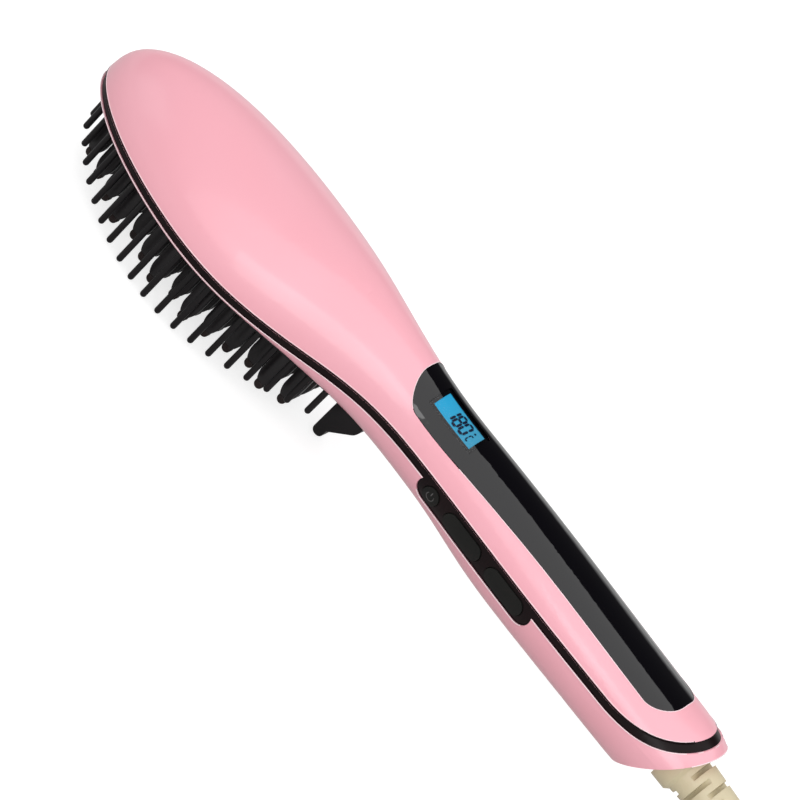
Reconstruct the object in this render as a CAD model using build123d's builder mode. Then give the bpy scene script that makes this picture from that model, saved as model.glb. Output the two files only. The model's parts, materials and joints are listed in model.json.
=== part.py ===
from build123d import *
import math
import os

# A heated hair straightening brush, lying with its bristles down. Sizes are in
# millimetres. X runs along the brush from the head's tip to the cord, Y across it
# with the buttons on the -Y side, and Z up through the back cover. A "distance" is
# measured along X from the head's tip. A "rise" is measured up from the middle of
# the trim that runs round the head.

# Body outline in plan
BODY_LENGTH = 267.0
HEAD_CREST = 62.0
HEAD_HALF_WIDTH = 31.6
TIP_FULLNESS = 1.8
NECK_DISTANCE = 140.0
NECK_HALF_WIDTH = 13.8
HANDLE_FULL_DISTANCE = 215.0
HANDLE_HALF_WIDTH = 16.2
TAIL_ROUND = 19.0
TAIL_FACE_SHARE = 0.56

# Body outline from the side
HEAD_CROWN = 24.4
CROWN_TIP_REACH = 55.0
CROWN_FULLNESS = 2.6
CROWN_FALL = (80.0, 152.0)
NECK_CROWN = 15.1
TAIL_CROWN = 10.9
CROWN_ROUND = 11.0
HEAD_RIM = 2.7
BELLY_FALL = (80.0, 145.0)
NECK_BELLY = 12.1
BELLY_FULL_DISTANCE = 190.0
HANDLE_BELLY = 15.9
BELLY_ROUND = 26.0
BELLY_CORNER_SHARE = 0.8
TAIL_DEPTH_SHARE = 0.66

# The tail is cut on a slant that passes these two places, as distance and rise
TAIL_SLANT = ((251.0, -3.5), (265.0, 13.4))

# Seam between the shells, where the black trim lies
SEAM_CLIMB = (88.0, 126.0)
SEAM_CLIMB_RADIUS = 300.0
HANDLE_SEAM_RISE = 4.7
SEAM_TAIL_CORNER = 16.3
SEAM_TAIL_RADIUS = 42.8
SEAM_TAIL_TURN = 45.0
TRIM_WIDTH = 2.5
TRIM_RECESS = 0.4
WALL = 2.0

# Display window, screen and boards
WINDOW_START = 128.7
WINDOW_LENGTH = 119.8
WINDOW_WIDTH = 23.2
WINDOW_CORNER = 8.8
WINDOW_THICKNESS = 1.2
WINDOW_FIT = 0.1
SCREEN_DISTANCE = 145.5
SCREEN_VIEW = (16.6, 8.8)
SCREEN_MODULE = (18.6, 11.0, 2.8)
SCREEN_TOP_RISE = 15.9
SCREEN_OPENING_MARGIN = 0.3
BOARD_THICKNESS = 1.6
BOARD_RISE = 5.4
BOARD_HALF_WIDTH = 8.5
BOARD_START = 136.0
BOARD_END = 226.0
BOARD_CORNER = 1.0
HOLDER_WALL = 1.3

# Parts on the control board: distance, side, then length, width and height
CHIP = (181.0, 0.0, 9.0, 9.0, 1.4)
CHOKE = (194.0, 0.0, 9.0, 9.0, 6.0)
TRIAC = (206.0, 1.0, 9.0, 10.0, 4.4)
FILM_CAPACITOR = (192.0, 3.0, 13.0, 6.0, 10.0)
CAPACITOR_PLACE = (172.0, 3.0)
CAPACITOR_SIZE = (8.0, 11.0)

# Button panel and buttons
PANEL_START = 152.0
PANEL_END = 203.0
PANEL_DEPTH = 8.5
PANEL_CORNER = 4.2
PANEL_BACK = 9.3
BUTTON_DROP = 3.4
POWER_DISTANCE = 157.6
POWER_DIAMETER = 6.0
KEY_LENGTH = 15.8
KEY_HEIGHT = 6.0
KEY_DISTANCES = (172.2, 191.6)
BUTTON_FIT = 0.2
BUTTON_FLANGE = 0.8
BUTTON_REST_GAP = 0.1
SWITCH_BODY = (6.0, 3.6, 2.0)
SWITCH_PLUNGER = (1.5, 0.8)
KEY_BOARD_THICKNESS = 1.2
KEY_BOARD_HEIGHT = 7.4
KEY_BOARD_FACE = 5.0

# Comb
COMB_END = 117.6
COMB_FACE_DROP = 3.2
COMB_LIP = 2.4
COMB_LIP_TOP = 0.8
COMB_FIT = 0.1
RIM_LEDGE = 2.7
PIN_DIAMETER = 2.0
PIN_PITCH = 6.3
PIN_INSET = 5.5
PIN_REACH = 24.3
PIN_LOWEST_DISTANCE = 58.0
PIN_ARC_RADIUS = 168.0
PIN_LAST_DISTANCE = 116.4
TOOTH_LENGTH = 5.5
TOOTH_THICKNESS = 2.2
TOOTH_NUB = 3.0
TOOTH_NUB_HEIGHT = 2.4
TOOTH_SHOULDER = 4.1
TOOTH_PITCH = 7.1
TOOTH_ROW = 7.0
TOOTH_FIRST = 14.8
TOOTH_LAST = 110.0
TOOTH_EDGE_INSET = 8.8
TOOTH_REACH = 22.4
TOOTH_ARC_RADIUS = 570.0
TOOTH_SLOT_FIT = 0.3

# Guard foot at the neck
FOOT_START = 117.8
FOOT_LENGTH = 11.0
FOOT_THICKNESS = 8.0
FOOT_TOP = -2.0
FOOT_REACH = 22.3
FOOT_NUB_WIDTH = 3.8
FOOT_NUB_HEIGHT = 3.4
FOOT_CORNERS = (1.7, 1.7, 0.8, 4.5)

# Heater
PLATE_INSET = 7.6
PLATE_END = 111.0
PLATE_THICKNESS = 1.6
ELEMENT_START = 30.0
ELEMENT_LENGTH = 62.0
ELEMENT_WIDTH = 14.0
ELEMENT_THICKNESS = 2.0
CLAMP_THICKNESS = 0.8
CLAMP_WIDTH = 8.0
CLAMP_FOOT = 4.8
CLAMP_FIT = 0.4
CLAMP_COLUMNS = (4, 10)
SHEET_THICKNESS = 0.4
SHEET_WIDTH = 26.0
SHEET_MARGIN = 4.0
SENSOR_SIZE = (5.0, 3.0, 2.6)
SENSOR_CORNER = 0.75
FUSE_DIAMETER = 3.6
FUSE_LENGTH = 10.0
HEATER_PART_GAP = 3.0

# Screws
SCREW_DIAMETER = 2.2
SCREW_HEAD = 4.0
SCREW_HEAD_HEIGHT = 1.4
SCREW_FIT = 0.05
BOSS_DIAMETER = 7.0
HEAD_SCREWS = (14.8, 113.4)
HANDLE_SCREWS = (131.5, 230.0)
HANDLE_SCREW_LENGTH = 14.0
HANDLE_SCREW_SINK = 3.4
SCREW_CLEARANCE = 1.0
HEAD_SCREW_LENGTH = 9.0
HEATER_SCREW_LENGTH = 4.6
BOSS_MEETING_RISE = 1.0
BOARD_POST_DIAMETER = 5.0
BOARD_SCREWS = ((158.0, 3.5), (222.0, 0.0))
BOARD_SCREW_LENGTH = 7.0

# Swivel and strain relief
SWIVEL_END = 256.0
CORD_RISE = 2.2
COLLAR_DIAMETER = 13.0
COLLAR_FLANGE = 15.0
COLLAR_LENGTH = 10.7
COLLAR_FLANGE_THICKNESS = 1.5
RIB_THICKNESS = 2.0
CORE_DIAMETER = 10.0
CORE_FIT = 0.05
CORE_FLANGE = 14.0
CORE_FLANGE_THICKNESS = 2.2
CORE_STUB = (6.0, 3.2)
SWIVEL_GAP = 0.3
RELIEF_BASE_DIAMETER = 17.0
RELIEF_FIT = 0.4
RELIEF_BASE_LENGTH = 5.5
RELIEF_SHOULDER = (1.2, 14.4)
RELIEF_TIP_DIAMETER = 8.6
RELIEF_LENGTH = 49.0
RELIEF_SLOT_PITCH = 3.4
RELIEF_SLOT_WIDTH = 1.5
RELIEF_SLOT_COUNT = 10
RELIEF_CORE_HALF = 3.3
CONTACT_BLOCK = (5.0, 14.0, 11.0)
CONTACT_PEDESTAL = (1.5, 2.3)
WIRE_DIAMETER = 1.6
WIRE_SIDE = 5.0
WIRE_BEND_RADIUS = 8.0

# Mains cord, its tied hank and its plug
CORD_DIAMETER = 5.6
LEAD_ROUTE = ((326.0, 0.0, 26.5), (346.0, 5.5, 18.5), (368.0, 19.5, 8.0), (388.0, 24.4, 4.3))
PLUG_ROUTE = ((457.0, -35.2, 10.4), (431.0, -40.4, 4.4), (405.0, -42.8, 3.1), (379.0, -36.5, 3.3))
PLUG_END = ((359.9, -27.3, 6.85), (344.0, -29.0, 6.85))
CORD_BEND_SHARE = 0.45
HANK_GAP = 0.5
HANK_STEP = 6.4
HANK_CENTRE = (450.0, -7.0)
HANK_END_OFFSET = 38.0
HANK_INNER_RADIUS = 17.0
HANK_WAIST = 2.6
HANK_LOWER_TURNS = 5
HANK_UPPER_TURNS = 3
HANK_POINT_STEP = 2.0
TIE_THICKNESS = 1.2
TIE_WIDTH = 8.0
TIE_FIT = 0.3
TIE_SIDE_FIT = 0.8
TIE_CORNER = 4.0
PLUG_LENGTH = 34.0
PLUG_WIDTH = 30.0
PLUG_HEIGHT = 13.7
PLUG_SHOULDER = 20.0
PLUG_BACK_WIDTH = 15.0
PLUG_CORNER = 4.0
PLUG_EDGE = 1.5
PLUG_NECK = (12.0, 9.0)
PLUG_PIN_DIAMETER = 4.0
PLUG_PIN_LENGTH = 19.0
PLUG_PIN_SPACING = 18.6

TIP_X = -TAIL_SLANT[1][0] / 2
FAR = 60.0


def ease(share):
    """Half a cosine wave from 0 to 1."""
    share = min(max(share, 0.0), 1.0)
    return (1 - math.cos(math.pi * share)) / 2


def blend(distance, start, end, first, last):
    """A size that goes smoothly from first to last between two distances."""
    return first + (last - first) * ease((distance - start) / (end - start))


def tip_share(distance, reach, fullness):
    """Share of the full size near the head's tip, on a superellipse."""
    short = min(max(reach - distance, 0.0) / reach, 0.999)
    return (1 - short**fullness) ** (1 / fullness)


def tail_share(distance, reach, kept):
    """Share of the full size near the tail, on a quarter ellipse down to kept."""
    past = min(max(distance - BODY_LENGTH + reach, 0.0) / reach, 1.0)
    return kept + (1 - kept) * math.sqrt(1 - past**2)


def half_width(distance):
    """Half the width of the body, which is widest at its seam."""
    size = blend(distance, HEAD_CREST, NECK_DISTANCE, HEAD_HALF_WIDTH, NECK_HALF_WIDTH)
    size += blend(distance, NECK_DISTANCE, HANDLE_FULL_DISTANCE, 0.0, HANDLE_HALF_WIDTH - NECK_HALF_WIDTH)
    size *= tip_share(distance, HEAD_CREST, TIP_FULLNESS)
    return size * tail_share(distance, TAIL_ROUND, TAIL_FACE_SHARE)


def crown(distance):
    """Height of the back above the seam."""
    size = blend(distance, *CROWN_FALL, HEAD_CROWN, NECK_CROWN)
    size += blend(distance, CROWN_FALL[1], BODY_LENGTH, 0.0, TAIL_CROWN - NECK_CROWN)
    size *= tip_share(distance, CROWN_TIP_REACH, CROWN_FULLNESS)
    return size * tail_share(distance, CROWN_ROUND, TAIL_DEPTH_SHARE)


def belly(distance):
    """Depth of the underside below the seam."""
    size = blend(distance, *BELLY_FALL, HEAD_RIM, NECK_BELLY)
    size += blend(distance, BELLY_FALL[1], BELLY_FULL_DISTANCE, 0.0, HANDLE_BELLY - NECK_BELLY)
    return size * tail_share(distance, BELLY_ROUND, TAIL_DEPTH_SHARE)


def seam_rise(distance):
    """Height of the seam, which climbs between the head and the handle."""
    slack = (SEAM_CLIMB[1] - SEAM_CLIMB[0]) / 2
    return blend(distance, SEAM_CLIMB[0] - slack, SEAM_CLIMB[1] + slack, 0.0, HANDLE_SEAM_RISE)


def inset_point(distance, inset):
    """A point of the plan outline, moved square to the outline by inset."""
    step = 0.05
    slope = (half_width(distance + step) - half_width(distance - step)) / (2 * step)
    length = math.hypot(1, slope)
    return distance + inset * slope / length, half_width(distance) - inset / length


def pin_rise(distance):
    """Rise of a pin's tip: the tips lie on one shallow arc."""
    return (distance - PIN_LOWEST_DISTANCE) ** 2 / (2 * PIN_ARC_RADIUS) - PIN_REACH


def tooth_rise(distance):
    """Rise of a heated tooth's tip, on a flatter arc."""
    return (distance - PIN_LOWEST_DISTANCE) ** 2 / (2 * TOOTH_ARC_RADIUS) - TOOTH_REACH


def pin_places():
    """Places of the outer pins, evenly spaced from the tip down one side."""
    places = [(PIN_INSET, 0.0)]
    last = places[0]
    walked = 0.0
    distance = 0.0
    while True:
        distance += 0.1
        spot = inset_point(distance, PIN_INSET)
        if spot[0] > PIN_LAST_DISTANCE:
            return places
        walked += math.dist(spot, last)
        last = spot
        if walked >= PIN_PITCH and spot[1] > PIN_PITCH / 2:
            places.append(spot)
            walked = 0.0


def tooth_places():
    """Places of the heated teeth: staggered rows that fill the ring of pins."""
    places = []
    columns = int((TOOTH_LAST - TOOTH_FIRST) / TOOTH_PITCH) + 1
    for column in range(columns):
        distance = TOOTH_FIRST + column * TOOTH_PITCH
        shift = TOOTH_ROW / 2 * (column % 2)
        limit = half_width(distance) - TOOTH_EDGE_INSET
        for row in range(-4, 4):
            across_place = row * TOOTH_ROW + shift
            under_screw = any(math.dist((distance, across_place), (x, 0)) < SCREW_HEAD for x in HEAD_SCREWS)
            if abs(across_place) <= limit and not under_screw:
                places.append((distance, across_place))
    return places


SIDE_PINS = pin_places()
PIN_PLACES = SIDE_PINS + [(x, -y) for x, y in SIDE_PINS[1:]]
TOOTH_PLACES = tooth_places()
TRIM_HEIGHT = -min(pin_rise(x) for x, y in PIN_PLACES)

os.makedirs("parts", exist_ok=True)


def level(rise):
    """A plane at a rise, on which X is the distance from the tip."""
    return Plane((TIP_X, 0, TRIM_HEIGHT + rise))


def across(distance, rise=0.0):
    """A plane square to the brush, on which X runs to +Y and Y runs up."""
    return Plane((TIP_X + distance, 0, TRIM_HEIGHT + rise), x_dir=(0, 1, 0), z_dir=(1, 0, 0))


def upright(width=0.0):
    """A plane along the brush seen from the button side: X is distance and Y is rise."""
    return Plane((TIP_X, -width, TRIM_HEIGHT), x_dir=(1, 0, 0), z_dir=(0, -1, 0))


def drawn_in(size, inset, least_share):
    return max(size - inset, size * least_share)


def section(distance, inset):
    """One cross-section of the body, drawn in by inset."""
    spot = distance + inset * (1 - 2 * distance / BODY_LENGTH)
    width = drawn_in(half_width(distance), inset, 0.6)
    top = drawn_in(crown(distance), inset, 0.6)
    under = drawn_in(belly(distance), inset, 0.25)
    corner = min(under, BELLY_CORNER_SHARE * width)
    with BuildSketch(across(spot, seam_rise(distance))) as outline:
        with BuildLine():
            EllipticalCenterArc((0, 0), width, top, 0, arc_size=180)
            EllipticalCenterArc((corner - width, 0), corner, under, 180, arc_size=90)
            Line((corner - width, -under), (width - corner, -under))
            EllipticalCenterArc((width - corner, 0), corner, under, 270, arc_size=90)
        make_face()
    return outline.sketch


def body_form(inset):
    """The whole closed body, with every surface drawn in by inset."""
    tail_start = BODY_LENGTH - BELLY_ROUND
    head = [HEAD_CREST * share for share in (0, 0.025, 0.07, 0.16, 0.3, 0.5, 0.75)]
    middle = [HEAD_CREST + (tail_start - HEAD_CREST) * step / 11 for step in range(11)]
    tail = [BODY_LENGTH - BELLY_ROUND * share for share in (1, 0.65, 0.4, 0.2, 0.08, 0.02, 0)]
    (low_x, low_y), (high_x, high_y) = TAIL_SLANT
    slant = math.atan2(high_y - low_y, high_x - low_x)
    start_x = low_x - inset * math.sin(slant) - FAR * math.cos(slant)
    start_y = low_y + inset * math.cos(slant) - FAR * math.sin(slant)
    end = (start_x + 2 * FAR * math.cos(slant), start_y + 2 * FAR * math.sin(slant))
    with BuildPart() as form:
        loft([section(distance, inset) for distance in head + middle + tail])
        with BuildSketch(upright()):
            with BuildLine():
                Polyline((start_x, start_y), end, (end[0], start_y), close=True)
            make_face()
        extrude(amount=FAR, both=True, mode=Mode.SUBTRACT)
    return form.part


def seam_line(shift):
    """Corners of the seam in side view, moved square to the seam by shift."""
    climb = math.atan2(HANDLE_SEAM_RISE, SEAM_CLIMB[1] - SEAM_CLIMB[0])
    tail = math.radians(SEAM_TAIL_TURN)
    tail_corner = BODY_LENGTH - SEAM_TAIL_CORNER
    corners = [(SEAM_CLIMB[0], 0.0, 0.0, climb), (SEAM_CLIMB[1], HANDLE_SEAM_RISE, climb, 0.0)]
    corners.append((tail_corner, HANDLE_SEAM_RISE, 0.0, tail))
    points = [(-FAR, shift)]
    for distance, rise, before, after in corners:
        reach = shift / math.cos((after - before) / 2)
        middle = (before + after) / 2
        points.append((distance - reach * math.sin(middle), rise + reach * math.cos(middle)))
    points.append((points[-1][0] + FAR * math.cos(tail), points[-1][1] + FAR * math.sin(tail)))
    radii = [SEAM_CLIMB_RADIUS - shift, SEAM_CLIMB_RADIUS + shift, SEAM_TAIL_RADIUS - shift]
    return points, radii


def seam_side(shift, far_rise):
    """Everything on one side of the seam, seen from the side."""
    points, radii = seam_line(shift)
    with BuildSketch(upright()) as area:
        with BuildLine():
            FilletPolyline(*points, radius=radii)
            turn_back = [points[-1], (points[-1][0] + FAR, points[-1][1]), (points[-1][0] + FAR, far_rise)]
            Polyline(*turn_back, (points[0][0], far_rise), points[0])
        make_face()
    return area.sketch


def head_plan(inset, end, rise):
    """Plan of the head, drawn in by inset and cut square at a distance."""
    shares = (0.02, 0.08, 0.18, 0.32, 0.5, 0.7, 0.86, 1.0)
    near_side = [inset_point(share * end, inset) for share in shares]
    far_side = [(x, -y) for x, y in reversed(near_side)]
    with BuildSketch(level(rise)) as plan:
        with BuildLine():
            Spline(*far_side, (inset, 0), *near_side)
            Line(near_side[-1], far_side[0])
        make_face()
    return plan.sketch


def comb_opening(fit):
    """Plan of the opening that takes the comb's lip, with a fit all round."""
    return head_plan(COMB_LIP - fit, COMB_END + fit, -TRIM_WIDTH / 2)


def panel_area(grow=0.0):
    """Side view of the button panel, below the top edge of the trim."""
    top = HANDLE_SEAM_RISE + TRIM_WIDTH / 2
    length = PANEL_END - PANEL_START
    with BuildSketch(upright()) as area:
        with Locations(((PANEL_START + PANEL_END) / 2, top - PANEL_DEPTH / 2)):
            RectangleRounded(length + 2 * grow, PANEL_DEPTH + 2 * grow, PANEL_CORNER + grow)
    return area.sketch


OUTER = body_form(0.0)
LENS_UNDER = body_form(WINDOW_THICKNESS)
TRIM_FACE = body_form(TRIM_RECESS)
INNER = body_form(WALL)


# Shells

def handle_screw_seat(distance):
    """Rise of the seat of a screw that is sunk into the underside."""
    return seam_rise(distance) - belly(distance) + HANDLE_SCREW_SINK


def window_layer(fit):
    """The skin of the back over the window's outline, drawn in by fit."""
    length = WINDOW_LENGTH - 2 * fit
    width = WINDOW_WIDTH - 2 * fit
    with BuildPart() as layer:
        add(OUTER)
        with BuildSketch(level(HANDLE_SEAM_RISE)):
            with Locations((WINDOW_START + WINDOW_LENGTH / 2, 0)):
                RectangleRounded(length, width, WINDOW_CORNER - fit)
        extrude(amount=FAR, mode=Mode.INTERSECT)
        add(LENS_UNDER, mode=Mode.SUBTRACT)
    return layer.part


with BuildPart() as back_cover:
    add(OUTER)
    extrude(seam_side(TRIM_WIDTH / 2, FAR), amount=FAR, both=True, mode=Mode.INTERSECT)
    add(INNER, mode=Mode.SUBTRACT)
    with BuildSketch(level(COMB_LIP_TOP)):
        with Locations(*[(x, 0) for x in HEAD_SCREWS]):
            Circle(BOSS_DIAMETER / 2)
    extrude(amount=FAR)
    with BuildSketch(level(BOSS_MEETING_RISE)):
        with Locations(*[(x, 0) for x in HANDLE_SCREWS]):
            Circle(BOSS_DIAMETER / 2)
    extrude(amount=FAR)
    add(OUTER, mode=Mode.INTERSECT)
    add(window_layer(0.0), mode=Mode.SUBTRACT)
    with BuildSketch(level(HANDLE_SEAM_RISE)):
        with Locations((SCREEN_DISTANCE, 0)):
            Rectangle(SCREEN_VIEW[0] + 2 * SCREEN_OPENING_MARGIN, SCREEN_VIEW[1] + 2 * SCREEN_OPENING_MARGIN)
    extrude(amount=FAR, mode=Mode.SUBTRACT)
    with BuildSketch(level(-COMB_FACE_DROP)):
        with Locations(*[(x, 0) for x in HEAD_SCREWS]):
            Circle(SCREW_DIAMETER / 2 + SCREW_FIT)
    extrude(amount=HEAD_SCREW_LENGTH + SCREW_HEAD_HEIGHT + SCREW_CLEARANCE, mode=Mode.SUBTRACT)
    for distance in HANDLE_SCREWS:
        with BuildSketch(level(handle_screw_seat(distance))):
            with Locations((distance, 0)):
                Circle(SCREW_DIAMETER / 2 + SCREW_FIT)
        extrude(amount=HANDLE_SCREW_LENGTH + SCREW_CLEARANCE, mode=Mode.SUBTRACT)
back_cover.part.label = "back_cover"
export_step(back_cover.part, "parts/back_cover.step")


COLLAR_BACK = SWIVEL_END - COLLAR_LENGTH
BLOCK_FRONT = COLLAR_BACK - SWIVEL_GAP - CORE_FLANGE_THICKNESS - CORE_STUB[1] - SWIVEL_GAP - CONTACT_BLOCK[0]

with BuildPart() as swivel_rib:
    add(OUTER)
    extrude(seam_side(-TRIM_WIDTH / 2, -FAR), amount=FAR, both=True, mode=Mode.INTERSECT)
    with BuildSketch(across(COLLAR_BACK + COLLAR_FLANGE_THICKNESS)):
        Rectangle(FAR, 2 * FAR)
    extrude(amount=RIB_THICKNESS, mode=Mode.INTERSECT)

with BuildPart() as front_frame:
    add(OUTER)
    extrude(seam_side(-TRIM_WIDTH / 2, -FAR), amount=FAR, both=True, mode=Mode.INTERSECT)
    add(INNER, mode=Mode.SUBTRACT)
    add(swivel_rib.part)
    with BuildSketch(level(-FAR)):
        with Locations(*[(x, 0) for x in HANDLE_SCREWS]):
            Circle(BOSS_DIAMETER / 2)
    extrude(amount=FAR + BOSS_MEETING_RISE)
    with BuildSketch(level(-FAR)):
        with Locations(*BOARD_SCREWS):
            Circle(BOARD_POST_DIAMETER / 2)
    extrude(amount=FAR + BOARD_RISE)
    with BuildSketch(level(-FAR)):
        with Locations((BLOCK_FRONT - CONTACT_PEDESTAL[0] / 2, 0)):
            Rectangle(CONTACT_PEDESTAL[0], CONTACT_BLOCK[1])
    extrude(amount=FAR + CORD_RISE - CONTACT_BLOCK[2] / 2 + CONTACT_PEDESTAL[1])
    add(OUTER, mode=Mode.INTERSECT)
    with BuildSketch(level(BOARD_RISE - BOARD_SCREW_LENGTH)):
        with Locations(*BOARD_SCREWS):
            Circle(SCREW_DIAMETER / 2 + SCREW_FIT)
    extrude(amount=BOARD_SCREW_LENGTH, mode=Mode.SUBTRACT)
    extrude(head_plan(RIM_LEDGE, COMB_END, -FAR), amount=2 * FAR, mode=Mode.SUBTRACT)
    extrude(comb_opening(COMB_FIT), amount=FAR, mode=Mode.SUBTRACT)
    extrude(panel_area(COMB_FIT), amount=FAR, mode=Mode.SUBTRACT)
    with BuildSketch(level(-FAR)):
        with Locations(*[(x, 0) for x in HANDLE_SCREWS]):
            Circle(SCREW_DIAMETER / 2 + SCREW_FIT)
    extrude(amount=2 * FAR, mode=Mode.SUBTRACT)
    for distance in HANDLE_SCREWS:
        with BuildSketch(level(handle_screw_seat(distance))):
            with Locations((distance, 0)):
                Circle(SCREW_HEAD / 2 + BUTTON_FIT)
        extrude(amount=-FAR, mode=Mode.SUBTRACT)
    with BuildSketch(across(COLLAR_BACK, CORD_RISE)):
        Circle(COLLAR_DIAMETER / 2 + CORE_FIT)
    extrude(amount=COLLAR_LENGTH, mode=Mode.SUBTRACT)
    with BuildSketch(across(SWIVEL_END, CORD_RISE)):
        Circle(RELIEF_BASE_DIAMETER / 2 + RELIEF_FIT)
    extrude(amount=FAR, mode=Mode.SUBTRACT)
front_frame.part.label = "front_frame"
export_step(front_frame.part, "parts/front_frame.step")

with BuildPart() as display_window:
    add(window_layer(WINDOW_FIT))
display_window.part.label = "display_window"
export_step(display_window.part, "parts/display_window.step")


# Trim band with its button panel

BUTTON_RISE = HANDLE_SEAM_RISE - BUTTON_DROP


def button_area(distance, length, height, grow):
    """Side view of one button, or of its hole or flange when grown."""
    with BuildSketch(upright()) as area:
        with Locations((distance, BUTTON_RISE)):
            if length > height:
                SlotOverall(length + 2 * grow, height + 2 * grow)
            else:
                Circle(height / 2 + grow)
    return area.sketch


BUTTONS = {"power_button": (POWER_DISTANCE, POWER_DIAMETER, POWER_DIAMETER)}
BUTTONS["temperature_down_button"] = (KEY_DISTANCES[0], KEY_LENGTH, KEY_HEIGHT)
BUTTONS["temperature_up_button"] = (KEY_DISTANCES[1], KEY_LENGTH, KEY_HEIGHT)

with BuildPart() as button_panel:
    add(TRIM_FACE)
    extrude(panel_area(), amount=FAR, mode=Mode.INTERSECT)
    with BuildSketch(level(-FAR)):
        with Locations((BODY_LENGTH / 2, -PANEL_BACK - FAR / 2)):
            Rectangle(BODY_LENGTH, FAR)
    extrude(amount=2 * FAR, mode=Mode.INTERSECT)

with BuildPart() as trim_band:
    add(TRIM_FACE)
    extrude(seam_side(-TRIM_WIDTH / 2, FAR), amount=FAR, both=True, mode=Mode.INTERSECT)
    extrude(seam_side(TRIM_WIDTH / 2, FAR), amount=FAR, both=True, mode=Mode.SUBTRACT)
    add(INNER, mode=Mode.SUBTRACT)
    extrude(comb_opening(COMB_FIT), amount=FAR, mode=Mode.SUBTRACT)
    add(button_panel.part)
    for distance, length, height in BUTTONS.values():
        extrude(button_area(distance, length, height, BUTTON_FIT), amount=FAR, mode=Mode.SUBTRACT)
trim_band.part.label = "trim_band"
export_step(trim_band.part, "parts/trim_band.step")

FLANGE_FACE = PANEL_BACK - BUTTON_REST_GAP
FLANGE_BACK = FLANGE_FACE - BUTTON_FLANGE

for name, (distance, length, height) in BUTTONS.items():
    with BuildPart() as button:
        add(OUTER)
        extrude(button_area(distance, length, height, 0), amount=FAR, mode=Mode.INTERSECT)
        with BuildSketch(level(-FAR)):
            with Locations((BODY_LENGTH / 2, -FLANGE_BACK - FAR / 2)):
                Rectangle(BODY_LENGTH, FAR)
        extrude(amount=2 * FAR, mode=Mode.INTERSECT)
        with BuildSketch(upright(FLANGE_BACK)):
            with Locations((distance, BUTTON_RISE)):
                if length > height:
                    SlotOverall(length + 2 * BUTTON_FLANGE, height + 2 * BUTTON_FLANGE)
                else:
                    Circle(height / 2 + BUTTON_FLANGE)
        extrude(amount=BUTTON_FLANGE)
    button.part.label = name
    export_step(button.part, f"parts/{name}.step")


# Comb: frame, pins and heated teeth

HEATER_SCREW_PLACES = [
    (TOOTH_FIRST + column * TOOTH_PITCH, side * 1.5 * TOOTH_ROW)
    for column in CLAMP_COLUMNS
    for side in (-1, 1)
]
HEATER_SCREW_DEPTH = HEATER_SCREW_LENGTH - PLATE_THICKNESS - CLAMP_THICKNESS + BUTTON_FIT

with BuildPart() as comb_frame:
    tray = head_plan(RIM_LEDGE + COMB_FIT, COMB_END - COMB_FIT, -COMB_FACE_DROP)
    extrude(tray, amount=COMB_FACE_DROP)
    extrude(comb_opening(0.0), amount=TRIM_WIDTH / 2 + COMB_LIP_TOP)
    with BuildSketch(level(-COMB_FACE_DROP)):
        with Locations(*TOOTH_PLACES):
            Rectangle(TOOTH_LENGTH + 2 * TOOTH_SLOT_FIT, TOOTH_THICKNESS + 2 * TOOTH_SLOT_FIT)
    extrude(amount=FAR, mode=Mode.SUBTRACT)
    with BuildSketch(level(-COMB_FACE_DROP)):
        with Locations(*[(x, 0) for x in HEAD_SCREWS]):
            Circle(SCREW_DIAMETER / 2 + SCREW_FIT)
    extrude(amount=FAR, mode=Mode.SUBTRACT)
    with BuildSketch(level(-COMB_FACE_DROP)):
        with Locations(*[(x, 0) for x in HEAD_SCREWS]):
            Circle(SCREW_HEAD / 2 + BUTTON_FIT)
    extrude(amount=SCREW_HEAD_HEIGHT + BUTTON_FIT, mode=Mode.SUBTRACT)
    with BuildSketch(level(COMB_LIP_TOP)):
        with Locations(*HEATER_SCREW_PLACES):
            Circle(SCREW_DIAMETER / 2 + SCREW_FIT)
    extrude(amount=-HEATER_SCREW_DEPTH, mode=Mode.SUBTRACT)
comb_frame.part.label = "comb_frame"
export_step(comb_frame.part, "parts/comb_frame.step")

PIN_RADIUS = PIN_DIAMETER / 2
with BuildPart() as comb_pins:
    for distance, side in PIN_PLACES:
        tip = pin_rise(distance)
        with BuildSketch(upright(-side)):
            with BuildLine():
                Line((distance, -COMB_FACE_DROP), (distance + PIN_RADIUS, -COMB_FACE_DROP))
                Line((distance + PIN_RADIUS, -COMB_FACE_DROP), (distance + PIN_RADIUS, tip + PIN_RADIUS))
                CenterArc((distance, tip + PIN_RADIUS), PIN_RADIUS, 0, -90)
                Line((distance, tip), (distance, -COMB_FACE_DROP))
            make_face()
        revolve(axis=Axis((TIP_X + distance, side, 0), (0, 0, 1)))
comb_pins.part.label = "comb_pins"
export_step(comb_pins.part, "parts/comb_pins.step")

TOOTH_ROWS = sorted({side for distance, side in TOOTH_PLACES})


def tooth_levels(distance):
    """Rises of a tooth's tip, of its nub's upper end and of its shoulder's upper end."""
    tip = tooth_rise(distance)
    return tip, tip + TOOTH_NUB_HEIGHT, tip + TOOTH_NUB_HEIGHT + TOOTH_SHOULDER


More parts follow.
